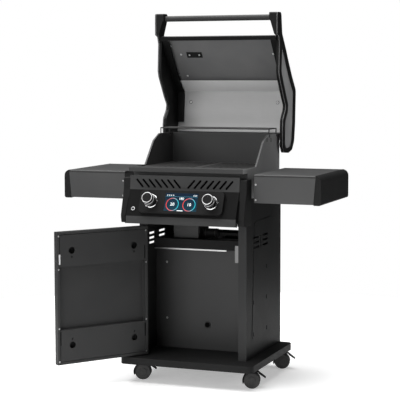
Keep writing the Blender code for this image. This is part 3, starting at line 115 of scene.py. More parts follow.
class Graph:
    """The node tree of one new material."""

    def __init__(self, name):
        self.material = bpy.data.materials.new(name)
        self.material.use_nodes = True
        self.tree = self.material.node_tree
        self.tree.nodes.clear()

    def add(self, kind, settings=None, sockets=None, output=0):
        """A node: its settings first, then its sockets' values or wires."""
        node = self.tree.nodes.new(kind)
        for key, value in (settings or {}).items():
            setattr(node, key, value)
        for key, value in (sockets or {}).items():
            if isinstance(value, Wire):
                self.tree.links.new(value.socket, node.inputs[key])
            else:
                node.inputs[key].default_value = value
        return Wire(self, node.outputs[output]) if node.outputs else None

    def place(self, stretch=(1, 1, 1)):
        """Object coordinates in metres, stretched along the three axes."""
        where = self.add("ShaderNodeTexCoord", output="Object")
        if stretch == (1, 1, 1):
            return where
        return self.add("ShaderNodeMapping", None, {"Vector": where, "Scale": stretch})

    def along(self, axis):
        """One coordinate of the place, in metres."""
        return self.add("ShaderNodeSeparateXYZ", None, {0: self.place()}, axis)

    def facing(self, axis):
        """How far the surface faces along one axis, from -1 to 1."""
        normal = self.add("ShaderNodeTexCoord", output="Normal")
        return self.add("ShaderNodeSeparateXYZ", None, {0: normal}, axis)

    def noise(self, scale, detail=2.0, rough=0.5, stretch=(1, 1, 1)):
        return self.add("ShaderNodeTexNoise", None,
                        {"Vector": self.place(stretch), "Scale": scale, "Detail": detail,
                         "Roughness": rough})

    def blend(self, factor, first, second):
        """From the first colour to the second."""
        return self.add("ShaderNodeMix", {"data_type": "RGBA", "clamp_factor": True},
                        {0: factor, 6: first, 7: second}, 2)

    def bump(self, height, distance):
        return self.add("ShaderNodeBump", None, {"Height": height, "Distance": distance})

    def edges(self, radius):
        """About 1 on edges and 0 on flats, from how a rounded normal leaves the true one."""
        rounded = self.add("ShaderNodeBevel", {"samples": 4}, {"Radius": radius})
        true = self.add("ShaderNodeNewGeometry", output="Normal")
        agree = self.add("ShaderNodeVectorMath", {"operation": "DOT_PRODUCT"},
                         {0: rounded, 1: true}, "Value")
        return (1.0 - agree).over(0.01, 0.25)

    def surface(self, **sockets):
        """The closing shader, its sockets' names written small and with underscores."""
        names = {key: key.replace("_", " ").title().replace("Ior", "IOR") for key in sockets}
        shader = self.add("ShaderNodeBsdfPrincipled", None,
                          {names[key]: value for key, value in sockets.items()})
        self.add("ShaderNodeOutputMaterial", None, {"Surface": shader})
        return self.material


COAT_WEAR_AND_HIGHLIGHT = 0.25               # how far an edge turns to the lighter tone, partly as wear and partly as painted highlight
# how far a plastic edge turns to the lighter tone, partly as wear and partly as painted
# highlight
PLASTIC_WEAR_AND_HIGHLIGHT = 0.3
FLOOR_GLOW = 0.42
SCREEN_TOP = 0.816             # heights between which the display's field turns to teal
SCREEN_FOOT = 0.745
PANEL_BEND_Z = 0.8363          # the control panel's face slopes between these heights
PANEL_LOW_Z = 0.7273
BEND_REACH = 0.0005            # the slope's finish stops this far short of the bend
SHELF_BAND_Z = 0.8975          # foot of the dark rolled edge round a shelf
SHELF_BAND_HEIGHT = 0.0085
LID_RIM_Y = 0.2165             # the lid's front hem lies in front of this
LID_BACK_FACING = 0.05         # what faces the back more than this is the lid's outer side
FLANK_X = 0.2573               # the firebox's outer sides lie outside this
CAP_FACE_X = 0.2835            # floor of the recess in a lid cap's outer side
CAP_FACE_REACH = 0.0007
POST_DEPTH = 0.002             # how much of a side panel counts as its front edge
POST_BACK_Y = POST_DEPTH + min((frame["nodes"]["side_panel_right"].matrix_world @ vertex.co).y
                               for vertex in frame["nodes"]["side_panel_right"].data.vertices)


def grey(value, warmth=0.0):
    return (value * (1 + warmth), value, value * (1 - warmth), 1)


def powder_coat(name, tone, rough=0.42, peel=0.00006, second=None, where=None, shine=0.35):
    """Baked powder paint: orange peel, soft blotches and edges a little lighter, partly as wear
    and partly as painted highlight.

    With a second tone, where() gives the part of the piece that takes it.
    """
    g = Graph(name)
    blotch = g.noise(7.0, 3.0).over(0.35, 0.7)
    speck = g.noise(900.0, 1.0)
    # edges made lighter: partly wear, partly painted highlight
    wear_and_highlight = g.edges(0.0012) * g.noise(60.0, 3.0).over(0.35, 0.65)
    base = g.blend(blotch, grey(tone * 0.93, -0.01), grey(tone * 1.07, 0.0))
    if where:
        other = g.blend(blotch, grey(second * 0.93, -0.01), grey(second * 1.07, 0.0))
        base = g.blend(where(g), base, other)
    worn_and_highlit = g.blend(wear_and_highlight * COAT_WEAR_AND_HIGHLIGHT, base, grey(tone * 2.0 + 0.02))
    smear = g.noise(14.0, 4.0, 0.6)
    roughness = rough - 0.07 + smear * 0.12 + speck * 0.04
    fine = g.bump(speck, peel)
    return g.surface(base_color=worn_and_highlit, roughness=roughness, metallic=0.0, normal=fine,
                     specular_ior_level=shine)


def moulded_plastic(name, tone, rough=0.48, shine=0.28):
    g = Graph(name)
    pebble = g.add("ShaderNodeTexVoronoi", None, {"Vector": g.place(), "Scale": 700.0})
    smear = g.noise(18.0, 4.0)
    # edges made lighter: partly wear, partly painted highlight
    wear_and_highlight = g.edges(0.0008) * g.noise(80.0, 2.0).over(0.4, 0.7)
    base = g.blend(smear, grey(tone * 0.85), grey(tone * 1.2))
    worn_and_highlit = g.blend(wear_and_highlight * PLASTIC_WEAR_AND_HIGHLIGHT, base, grey(tone * 2.0 + 0.02))
    return g.surface(base_color=worn_and_highlit, roughness=rough - 0.06 + smear * 0.12,
                     normal=g.bump(pebble, 0.00004), specular_ior_level=shine)


def brushed_steel(name, tone, stretch, rough=0.30, metal=1.0, fold=1.0):
    """Rolled stainless sheet with its grain along one axis.

    Where the sheet faces the ground, its tone is multiplied by the given factor: painted light
    on the downward faces.
    """
    g = Graph(name)
    grain = g.noise(900.0, 2.0, 0.6, stretch)
    cloud = g.noise(5.0, 3.0)
    smudge = g.noise(30.0, 4.0, 0.6)
    base = g.blend(grain, grey(tone * 0.9), grey(tone * 1.06))
    toned = g.blend(cloud.over(0.35, 0.75) * 0.25, base, grey(tone * 0.8, 0.01))
    if fold != 1.0:
        # painted light: faces turned to the ground are made lighter
        toned = g.blend(g.facing("Z").over(-0.3, -0.6), toned, grey(tone * fold))
    roughness = rough - 0.06 + smudge * 0.10 + grain * 0.08
    return g.surface(base_color=toned, roughness=roughness, metallic=metal,
                     normal=g.bump(grain, 0.00002))


def chrome(name, tone=0.82, rough=0.08, metal=1.0):
    g = Graph(name)
    smudge = g.noise(120.0, 4.0, 0.6)
    wipe = g.noise(25.0, 2.0)
    base = g.blend(wipe, grey(tone * 0.96), grey(tone, -0.01))
    return g.surface(base_color=base, roughness=rough + smudge.over(0.45, 0.8) * 0.10,
                     metallic=metal, normal=g.bump(smudge, 0.000004))


def cast_iron(name, tone=0.022):
    g = Graph(name)
    lump = g.noise(220.0, 4.0, 0.6)
    rust = g.noise(24.0, 5.0, 0.65).over(0.62, 0.80)
    base = g.blend(lump, grey(tone * 0.8), grey(tone * 1.4, 0.02))
    aged = g.blend(rust * 0.35, base, (0.060, 0.034, 0.022, 1))
    return g.surface(base_color=aged, roughness=0.52 + lump * 0.25, normal=g.bump(lump, 0.0003))


def brass(name):
    g = Graph(name)
    turning = g.noise(500.0, 2.0, 0.5, (0.1, 1, 1))
    tarnish = g.noise(40.0, 4.0, 0.6).over(0.45, 0.8)
    base = g.blend(tarnish, (0.60, 0.42, 0.18, 1), (0.36, 0.24, 0.11, 1))
    return g.surface(base_color=base, roughness=0.26 + tarnish * 0.25, metallic=1.0,
                     normal=g.bump(turning, 0.00003))


def tyre_rubber(name, tone=0.030):
    g = Graph(name)
    dust = g.noise(45.0, 5.0, 0.65)
    fine = g.noise(800.0, 2.0)
    base = g.blend(dust.over(0.4, 0.75), grey(tone), grey(tone * 2.2, 0.03))
    return g.surface(base_color=base, roughness=0.62 + dust * 0.22, normal=g.bump(fine, 0.00006))


def screen_glass(name):
    """The lit display: a deep blue field that turns to teal towards its foot."""
    g = Graph(name)
    glow = g.noise(14.0, 2.0)
    low = g.along("Z").over(SCREEN_TOP, SCREEN_FOOT)
    field = g.blend(low * 0.7 + glow * 0.3, (0.002, 0.006, 0.016, 1), (0.004, 0.026, 0.040, 1))
    dust = g.noise(400.0, 3.0)
    return g.surface(base_color=field, roughness=0.14 + dust * 0.08, emission_color=field,
                     emission_strength=0.9, normal=g.bump(dust, 0.000003))


def lit_mark(name, colour, strength=0.8):
    """Printed light of the display."""
    g = Graph(name)
    flicker = g.noise(600.0, 2.0)
    dim = tuple(channel * 0.8 for channel in colour[:3]) + (1,)
    shade = g.blend(flicker, dim, colour)
    return g.surface(base_color=shade, roughness=0.25 + flicker * 0.1, emission_color=shade,
                     emission_strength=strength, normal=g.bump(flicker, 0.000002))


def gauge_glow(name, middle, radius):
    """A ring gauge that runs from red on its left to teal on its right."""
    g = Graph(name)
    across = g.along("X").over(middle - radius, middle + radius)
    warm = g.blend(across.over(0.0, 0.5), (0.75, 0.05, 0.03, 1), (0.50, 0.14, 0.16, 1))
    shade = g.blend(across.over(0.45, 0.9), warm, (0.02, 0.45, 0.55, 1))
    grain = g.noise(700.0, 2.0)
    return g.surface(base_color=shade, roughness=0.2 + grain * 0.1, emission_color=shade,
                     emission_strength=0.4, normal=g.bump(grain, 0.000002))


def floor_paint(name):
    g = Graph(name)
    cloud = g.noise(1.5, 3.0)
    base = g.blend(cloud, grey(0.88), grey(0.92))
    return g.surface(base_color=base, roughness=0.6 + cloud * 0.1, specular_ior_level=0.1,
                     emission_color=base, emission_strength=FLOOR_GLOW)


def on_slope(g):
    """The control panel's sloped face."""
    height = g.along("Z")
    return (height > PANEL_LOW_Z) * (1.0 - (height > PANEL_BEND_Z - BEND_REACH))


def on_band(g):
    """The rolled edge at the front and rear of a shelf, without its top."""
    height = g.along("Z")
    return (height > SHELF_BAND_Z) * (1.0 - (height > SHELF_BAND_Z + SHELF_BAND_HEIGHT))


def on_hem(g):
    """The lid's front hem and its whole outer side."""
    return (1.0 - (g.along("Y") > LID_RIM_Y)) + (g.facing("Y") > LID_BACK_FACING)


def painted_light_on_flank(g):
    """The outer sides of the firebox, given a lighter tone as painted light."""
    return abs(g.along("X")) > FLANK_X


def on_recess(g):
    """The recessed outer face of either lid cap."""
    off = abs(g.along("X")) - CAP_FACE_X
    return 1.0 - (abs(off) > CAP_FACE_REACH)


def painted_light_on_post(g):
    """The front edges of the cart's side panels, given a lighter tone as painted light."""
    return 1.0 - (g.along("Y") > POST_BACK_Y)


# --------------------------------------------------------------- the finishes
BLACK = powder_coat("black_powder_coat", 0.018, shine=0.03)
CHARCOAL = powder_coat("charcoal_powder_coat", 0.032, 0.44, shine=0.18)
SHELF_COAT = powder_coat("shelf_powder_coat", 0.046, 0.44, second=0.010, where=on_band)
PANEL_COAT = powder_coat("control_panel_coat", 0.043, 0.44, second=0.005, where=on_slope,
                         shine=0.08)
DARK_PANEL = powder_coat("dark_panel_coat", 0.026, 0.46)
LID_INSIDE = powder_coat("lid_inside_coat", 0.165, 0.46, second=0.006, where=on_hem,
                         shine=0.06)
# the front edges of the side panels take the lighter tone as painted light
SIDE_COAT = powder_coat("side_panel_coat", 0.018, second=0.042, where=painted_light_on_post, shine=0.03)
# the firebox's outer sides take a much lighter tone as painted light
CAST_COAT = powder_coat("cast_aluminium_coat", 0.026, 0.46, 0.00010, second=0.210,
                        where=painted_light_on_flank)
CAP_COAT = powder_coat("lid_cap_coat", 0.009, 0.46, 0.00010, second=0.30, where=on_recess,
                       shine=0.10)
PLASTIC = moulded_plastic("black_plastic", 0.010, shine=0.09)
GREY_PLASTIC = moulded_plastic("grey_plastic", 0.035)
# near-black finish used as painted shade in holes, slots and gaps
HOLE_SHADE = moulded_plastic("painted_hole_shade", 0.002, 0.8, shine=0.05)
# the heat shield's downward faces take painted light, 1.75 times its tone
STEEL_ACROSS = brushed_steel("stainless_brushed_across", 0.48, (0.02, 1, 1), 0.56,
                             metal=0.45, fold=1.75)
STEEL_PLAIN = brushed_steel("stainless_plain", 0.52, (1, 1, 0.05), 0.34)
STEEL_DARK = brushed_steel("stainless_fired", 0.16, (0.05, 1, 1), 0.42)
CHROME = chrome("chrome_plate")
SATIN_RING = chrome("satin_ring_plate", 0.85, 0.34, 0.4)
IRON = cast_iron("cast_iron_enamel")
BRASS = brass("machined_brass")
RUBBER = tyre_rubber("wheel_rubber", 0.020)
GLASS = screen_glass("display_glass")
WHITE_MARK = lit_mark("display_white", (0.75, 0.80, 0.82, 1))
BLUE_MARK = lit_mark("display_blue", (0.10, 0.40, 0.55, 1), 0.5)


# ------------------------------------------------------------ modelling helpers
EDGE_ANGLE = 35                # degrees; a sharper fold than this is an edge
FLAT_ANGLE = 1.0               # faces that turn less than this are one flat
ROUNDING = 0.0003              # width of the rounded edge of a small fitting
HAIR = 0.00001


def select_only(piece):
    if bpy.context.object and bpy.context.object.mode != "OBJECT":
        bpy.ops.object.mode_set(mode="OBJECT")
    bpy.ops.object.select_all(action="DESELECT")
    piece.select_set(True)
    bpy.context.view_layer.objects.active = piece


def apply_modifiers(piece):
    select_only(piece)
    for modifier in list(piece.modifiers):
        bpy.ops.object.modifier_apply(modifier=modifier.name)


def round_edges(piece, width):
    if width:
        step = piece.modifiers.new("rounded", "BEVEL")
        step.width = width
        step.segments = 2
        step.limit_method = "ANGLE"
        step.angle_limit = math.radians(EDGE_ANGLE)
    apply_modifiers(piece)


def hang(piece, slot, body):
    """The piece moves with its body; its slot and body are noted."""
    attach(piece, body)
    HUNG[piece.name] = (slot, body)
    return piece


HUNG = {}


def give(piece, finish, slot, body, angle=EDGE_ANGLE):
    """Shades a finished piece, gives it its finish and hangs it on its body."""
    select_only(piece)
    bpy.ops.object.transform_apply(location=True, rotation=True, scale=True)
    bpy.ops.object.shade_smooth_by_angle(angle=math.radians(angle))
    level = piece.modifiers.new("level_flats", "WEIGHTED_NORMAL")
    level.keep_sharp = True
    level.weight = 100
    apply_modifiers(piece)
    piece.data.materials.clear()
    piece.data.materials.append(finish)
    return hang(piece, slot, body)


BODY_OF = {node: body for body, nodes in frame["record"]["behaviour"]["bodies"].items()
           for node in nodes}
SLOT_OF = {part["node"]: part["material_slot"] for part in frame["record"]["subparts"]}


def refine(node, finish, width):
    """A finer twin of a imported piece: flats made whole and edges rounded."""
    piece = bpy.data.objects.new(node + "_finished", frame["nodes"][node].data.copy())
    SCENE.collection.objects.link(piece)
    select_only(piece)
    bpy.ops.object.mode_set(mode="EDIT")
    bpy.ops.mesh.select_all(action="SELECT")
    bpy.ops.mesh.remove_doubles(threshold=HAIR)
    bpy.ops.mesh.dissolve_limited(angle_limit=math.radians(FLAT_ANGLE))
    bpy.ops.object.mode_set(mode="OBJECT")
    round_edges(piece, width)
    give(piece, finish, SLOT_OF[node], BODY_OF[node])
    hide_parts(node)


def refine_all():
    """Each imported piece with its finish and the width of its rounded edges."""
    for node, finish, width in (
            ("base_board", BLACK, 0.0030), ("deck_shelf", BLACK, 0.0006),
            ("divider_panel", DARK_PANEL, 0.0004), ("rear_frame", BLACK, 0.0006),
            ("door_catch_plate", STEEL_DARK, 0.0004), ("door_panel", CHARCOAL, 0.0006),
            ("door_bracket_top", CHARCOAL, 0.0004), ("door_bracket_bottom", CHARCOAL, 0.0004),
            ("door_handle", STEEL_PLAIN, 0.0010), ("firebox", CAST_COAT, 0.0012),
            ("warming_rack", IRON, 0), ("control_panel", PANEL_COAT, 0.0005),
            ("display_bezel", PLASTIC, 0.0025), ("display_screen", GLASS, 0.0004),
            ("gas_manifold", BRASS, 0.0006), ("grease_tray", STEEL_PLAIN, 0.0006),
            ("grease_cup", BLACK, 0.0006), ("power_pack", GREY_PLASTIC, 0.0010),
            ("lid_shell", LID_INSIDE, 0.0006), ("lid_heat_shield", STEEL_ACROSS, 0.0003),
            ("lid_handle", CHARCOAL, 0.0015), ("power_button", PLASTIC, 0.0004)):
        refine(node, finish, width)
    for side, _ in SIDES:
        for node, finish, width in (
                ("side_panel_", SIDE_COAT, 0.0006), ("cooking_grid_", IRON, 0.0020),
                ("heat_plate_", STEEL_PLAIN, 0.0004), ("burner_", STEEL_PLAIN, 0.0010),
                ("control_cap_", PLASTIC, 0.0010), ("knob_ring_", CHROME, 0.0005),
                ("knob_spindle_", BRASS, 0.0004), ("knob_", PLASTIC, 0.0006),
                ("shelf_", SHELF_COAT, 0.0006), ("shelf_end_", BLACK, 0.0030),
                ("tray_runner_", BLACK, 0.0006), ("lid_cap_", CAP_COAT, 0.0010),
                ("lid_hinge_pin_", STEEL_PLAIN, 0.0008)):
            refine(node + side, finish, width)
    for row in ("front", "rear"):
        for side, _ in SIDES:
            corner = row + "_" + side
            refine("caster_housing_" + corner, PLASTIC, 0.0006)
            refine("caster_wheel_" + corner, RUBBER, 0.0010)
            refine("brake_lever_" + corner, PLASTIC, 0.0008)


# -------------------------------------------------------------- small fittings
RING_STEPS = 56
WIRE_SIDES = 12
RING_ANGLE = 60                # degrees; a ring's facets are all shaded round
DISC_SIDES = 32
SCREW_SIDES = 20
SCREW_HEIGHT = 0.45            # a screw head's sizes, in parts of its radius
SCREW_ROUNDING = 0.3
SOCKET_RISE = 0.452
SOCKET_RADIUS = 0.42
SOCKET_THICKNESS = 0.02
LETTER_RELIEF = 0.00008


def stand(at, facing):
    """A frame at a place: its Z is the facing, its Y lies as upright as it can."""
    out = Vector(facing).normalized()
    across = Vector((0, 0, 1)).cross(out).normalized()
    turn = Matrix((across, out.cross(across), out)).transposed().to_4x4()
    return Matrix.Translation(at) @ turn


def close_up(piece, step, **settings):
    """Works the whole of a piece in edit mode, then turns its faces outwards."""
    select_only(piece)
    bpy.ops.object.mode_set(mode="EDIT")
    bpy.ops.mesh.select_all(action="SELECT")
    step(**settings)
    bpy.ops.mesh.select_all(action="SELECT")
    bpy.ops.mesh.remove_doubles(threshold=HAIR)
    bpy.ops.mesh.normals_make_consistent(inside=False)
    bpy.ops.object.mode_set(mode="OBJECT")


def add_outline(name, primitive, **settings):
    """The flat outline that a fitting is raised or spun from."""
    bpy.ops.object.select_all(action="DESELECT")
    primitive(**settings)
    piece = bpy.context.object
    piece.name = name
    return piece


def add_plate(name, at, facing, size, finish, slot, body, width=ROUNDING):
    """A block raised from a face: size is across, upwards and out of it."""
    piece = add_outline(name, bpy.ops.mesh.primitive_plane_add, size=1)
    piece.scale = (size[0], size[1], 1)
    bpy.ops.object.transform_apply(location=True, rotation=True, scale=True)
    close_up(piece, bpy.ops.mesh.extrude_region_move,
             TRANSFORM_OT_translate={"value": (0, 0, size[2])})
    piece.matrix_world = stand(at, facing)
    round_edges(piece, width)
    return give(piece, finish, slot, body)


def add_disc(name, at, facing, radius, thick, finish, slot, body, width=ROUNDING,
             sides=DISC_SIDES):
    """A round raised from a face."""
    piece = add_outline(name, bpy.ops.mesh.primitive_circle_add, vertices=sides,
                        radius=radius, fill_type="NGON")
    close_up(piece, bpy.ops.mesh.extrude_region_move,
             TRANSFORM_OT_translate={"value": (0, 0, thick)})
    piece.matrix_world = stand(at, facing)
    round_edges(piece, width)
    return give(piece, finish, slot, body)


def add_ring(name, at, facing, radius, wire, finish, slot, body, flat=1.0):
    """A wire bent round: its section is spun about the ring's middle."""
    piece = add_outline(name, bpy.ops.mesh.primitive_circle_add, vertices=WIRE_SIDES,
                        radius=wire, location=(radius, 0, 0), rotation=(math.pi / 2, 0, 0))
    bpy.ops.object.transform_apply(location=True, rotation=True, scale=True)
    close_up(piece, bpy.ops.mesh.spin, steps=RING_STEPS, angle=2 * math.pi,
             center=(0, 0, 0), axis=(0, 0, 1))
    piece.matrix_world = stand(at, facing) @ Matrix.Diagonal((1, 1, flat, 1))
    return give(piece, finish, slot, body, RING_ANGLE)


def add_text(name, words, at, facing, height, finish, body):
    bpy.ops.object.select_all(action="DESELECT")
    bpy.ops.object.text_add()
    piece = bpy.context.object
    piece.name = name
    piece.data.body = words
    piece.data.size = height
    piece.data.extrude = LETTER_RELIEF
    piece.data.align_x = "CENTER"
    piece.data.align_y = "CENTER"
    bpy.ops.object.convert(target="MESH")
    piece = bpy.context.object
    piece.matrix_world = stand(at, facing)
    return give(piece, finish, "display", body)


def copy_to(piece, name, shift, body=None):
    """A twin of a finished fitting, with its own mesh, moved by a shift."""
    twin = bpy.data.objects.new(name, piece.data.copy())
    SCENE.collection.objects.link(twin)
    twin.data.transform(Matrix.Translation(shift))
    slot, own_body = HUNG[piece.name]
    return hang(twin, slot, body or own_body)


def copy_right(pieces, apart):
    """The right-hand twins of left-hand fittings, on the right-hand bodies."""
    for piece in pieces:
        body = HUNG[piece.name][1].replace("_left", "_right")
        copy_to(piece, piece.name.replace("_left", "_right"), (apart, 0, 0), body)


def add_screws(name, places, facing, radius, body, finish=STEEL_PLAIN, slot="stainless"):
    """Domed screw heads, each with a dark hexagon disc as painted shade for its socket; one is
    made, the rest copied.
    """
    first = Vector(places[0])
    rise = Vector(facing).normalized() * radius * SOCKET_RISE
    head = add_disc(name + "_1", first, facing, radius, radius * SCREW_HEIGHT, finish, slot,
                    body, radius * SCREW_ROUNDING, SCREW_SIDES)
    # the socket is a flat dark disc of painted shade
    socket = add_disc(name + "_socket_1", first + rise, facing, radius * SOCKET_RADIUS,
                      radius * SOCKET_THICKNESS, PLASTIC, "plastic", body, 0, 6)
    for number, at in enumerate(places[1:], 2):
        shift = Vector(at) - first
        copy_to(head, "%s_%d" % (name, number), shift)
        copy_to(socket, "%s_socket_%d" % (name, number), shift)


# ------------------------------------------------- on the control panel's slope
PANEL_BEND = Vector((0, -0.18129, PANEL_BEND_Z))
PANEL_OUT = Vector((0, -0.91430, 0.40502))
PANEL_UP = Vector((0, 0.40502, 0.91430))
KNOB_X = 0.1345                # to either side
KNOB_DOWN = 0.056              # distances down the slope start at the bend
BUTTON_AT = (-0.2155, 0.088)
STATUS_DOWN = 0.0265
ICON_FIRST_X = -0.064
ICON_SIZE = 0.0036
ICON_STEP = 0.009
GAUGE_X = 0.0375
GAUGE_DOWN = 0.0665
GAUGE_RADIUS = 0.0272
CAP_GAP_X = 0.2475             # the gap between the panel and an end cap


def on_panel(x, down, out=0.0):
    return PANEL_BEND + Vector((x, 0, 0)) - PANEL_UP * down + PANEL_OUT * out


def front_of(node):
    """How far a piece stands out of the slope."""
    shape = frame["nodes"][node]
    return max((shape.matrix_world @ vertex.co - PANEL_BEND).dot(PANEL_OUT)
               for vertex in shape.data.vertices)


def dress_knobs():
    """Bright rings, a dark face and a pointer on each knob, and a ring on its seat."""
    face = front_of("knob_left")

    def ring(name, out, radius, wire, body):
        return add_ring(name, on_panel(-KNOB_X, KNOB_DOWN, out), PANEL_OUT, radius, wire,
                        SATIN_RING, "chrome", body)

    copy_right([
        ring("knob_face_ring_left", face - 0.0006, 0.0215, 0.0013, "knob_left"),
        ring("knob_waist_ring_left", face - 0.017, 0.0243, 0.0009, "knob_left"),
        ring("knob_seat_ring_left", 0.0066, 0.0292, 0.0012, "cart"),
        add_disc("knob_face_left", on_panel(-KNOB_X, KNOB_DOWN, face - 0.0002), PANEL_OUT,
                 0.0188, 0.0006, PLASTIC, "plastic", "knob_left"),
        add_plate("knob_pointer_left", on_panel(-KNOB_X, KNOB_DOWN - 0.0125, face + 0.0003),
                  PANEL_OUT, (0.0016, 0.008, 0.0004), GREY_PLASTIC, "plastic", "knob_left",
                  0.0001),
    ], 2 * KNOB_X)


def dress_button():
    face = front_of("power_button")
    add_ring("power_button_rim", on_panel(*BUTTON_AT, face - 0.0002), PANEL_OUT, 0.0068,
             0.0012, SATIN_RING, "chrome", "power_button")
    add_ring("power_button_seat", on_panel(*BUTTON_AT, 0.0006), PANEL_OUT, 0.0105, 0.0009,
             PLASTIC, "plastic", "cart")


def dress_screen():
    """The display's marks: a status row, a heat reading and two ring gauges."""
    glass = front_of("display_screen") + 0.00005

    def mark(name, x, down, wide, high, finish):
        return add_plate(name, on_panel(x, down, glass), PANEL_OUT, (wide, high, 0.0002), finish,
                         "display", "cart", 0)

    def words(name, text, x, down, height):
        add_text(name, text, on_panel(x, down, glass), PANEL_OUT, height, WHITE_MARK, "cart")

    icon = mark("display_icon_1", ICON_FIRST_X, STATUS_DOWN, ICON_SIZE, ICON_SIZE, WHITE_MARK)
    for index in range(1, 4):
        copy_to(icon, "display_icon_%d" % (index + 1), (ICON_STEP * index, 0, 0))
    mark("display_bar_line", 0, STATUS_DOWN + 0.0055, 0.140, 0.0005, BLUE_MARK)
    mark("display_bar", 0, 0.0935, 0.026, 0.0030, WHITE_MARK)
    words("display_clock", "12:30", 0.058, STATUS_DOWN, 0.0085)
    words("display_heat", "180", 0, 0.0410, 0.0150)
    for (side, way), reading in zip(SIDES, ("20", "10")):
        x = way * GAUGE_X
        add_ring("display_gauge_" + side, on_panel(x, GAUGE_DOWN, glass), PANEL_OUT,
                 GAUGE_RADIUS, 0.0011, gauge_glow("gauge_glow_" + side, x, GAUGE_RADIUS),
                 "display", "cart", 0.12)
        words("display_number_" + side, reading, x, GAUGE_DOWN, 0.0190)


def dress_panel():
    """Dark sheets of painted shade behind the slots and in the gaps beside the end caps."""
    add_plate("slot_backing", (0, -0.1660, 0.868), (0, -1, 0), (0.480, 0.050, 0.0010), HOLE_SHADE,
              "plastic", "cart", 0.0002)
    copy_right([
        add_plate("cap_gap_backing_left", on_panel(-CAP_GAP_X, 0.060, -0.014), PANEL_OUT,
                  (0.0070, 0.130, 0.0080), HOLE_SHADE, "plastic", "cart", 0.0005),
        add_plate("foot_gap_backing_left", (-CAP_GAP_X, -0.2230, 0.7120), (0, -1, 0),
                  (0.0070, 0.034, 0.0040), HOLE_SHADE, "plastic", "cart", 0.0005),
    ], 2 * CAP_GAP_X)


# ------------------------------------------------------------- inside the lid
LID_SLOPE = (0, -0.81, -0.59)          # the way the lid's upper inside faces
CAP_EDGE_FACING = (0, -0.77, -0.63)
SHIELD_FACING = (0, -1, 0.06)
LINER_RIVETS = ((-0.2063, 0.3061, 1.4089), (-0.2042, 0.3799, 1.3126),
                (0.2310, 0.3061, 1.4089), (0.2310, 0.3799, 1.3126))
CLIP_AT = Vector((-0.1420, 0.3074, 1.4070))
CLIP_SIZE = (0.074, 0.030, 0.0020)
CLIP_SCREW_X = 0.0235                  # from the clip's middle
SHIELD_SCREW_X = 0.2106
CAP_SCREWS = ((0.2762, 1.4466), (0.3769, 1.3160), (0.2380, 1.4690))
CAP_SCREW_X = 0.2445


def dress_lid():
    """Rivets, screws and a clip on the lid's inside."""
    add_screws("liner_rivet", LINER_RIVETS, LID_SLOPE, 0.0046, "lid", SATIN_RING)
    add_plate("liner_clip", CLIP_AT, LID_SLOPE, CLIP_SIZE, BLACK, "black_paint", "lid", 0.0008)
    clip_face = CLIP_AT + Vector(LID_SLOPE).normalized() * CLIP_SIZE[2]
    add_screws("liner_clip_screw",
               [clip_face + Vector((x, 0, 0)) for x in (-CLIP_SCREW_X, CLIP_SCREW_X)],
               LID_SLOPE, 0.0040, "lid", SATIN_RING)
    add_screws("shield_screw",
               [(x, 0.4353, 1.1917) for x in (-SHIELD_SCREW_X, SHIELD_SCREW_X)],
               SHIELD_FACING, 0.0055, "lid")
    copy_right([add_ring("shield_washer_left", (-SHIELD_SCREW_X, 0.4352, 1.1917),
                         SHIELD_FACING, 0.0066, 0.0012, BLACK, "black_paint", "lid")],
               2 * SHIELD_SCREW_X)
    add_screws("hem_screw", [(-0.190, 0.2138, 1.4715), (0.190, 0.2138, 1.4715)], (0, -1, 0),
               0.0030, "lid", BLACK, "black_paint")
    for side, way in SIDES:
        add_screws("cap_screw_" + side, [(way * CAP_SCREW_X, y, z) for y, z in CAP_SCREWS],
                   CAP_EDGE_FACING, 0.0050, "lid", SATIN_RING)


# ------------------------------------------------------------------- the cart
DIVIDER_SCREW_X = 0.1895
DIVIDER_SCREW_Y = 0.0882
HOSE_HOLE = (0.002, 0.221)             # across and up, on the divider
BARREL_START = (-0.038, 0.155, 0.6215)
BAND_PLACES = (-0.026, 0.018)
KEYHOLES = (("front", 0.1407, 1.0369), ("rear", 0.1961, 1.0343))
KEYHOLE_SIZE = (0.008, 0.018, 0.0004)
FIREBOX_SIDE_X = 0.2578
PANEL_SIDE_X = 0.2438
SHELF_SCREW_X = 0.3000
SHELF_SCREW_Y = -0.1337


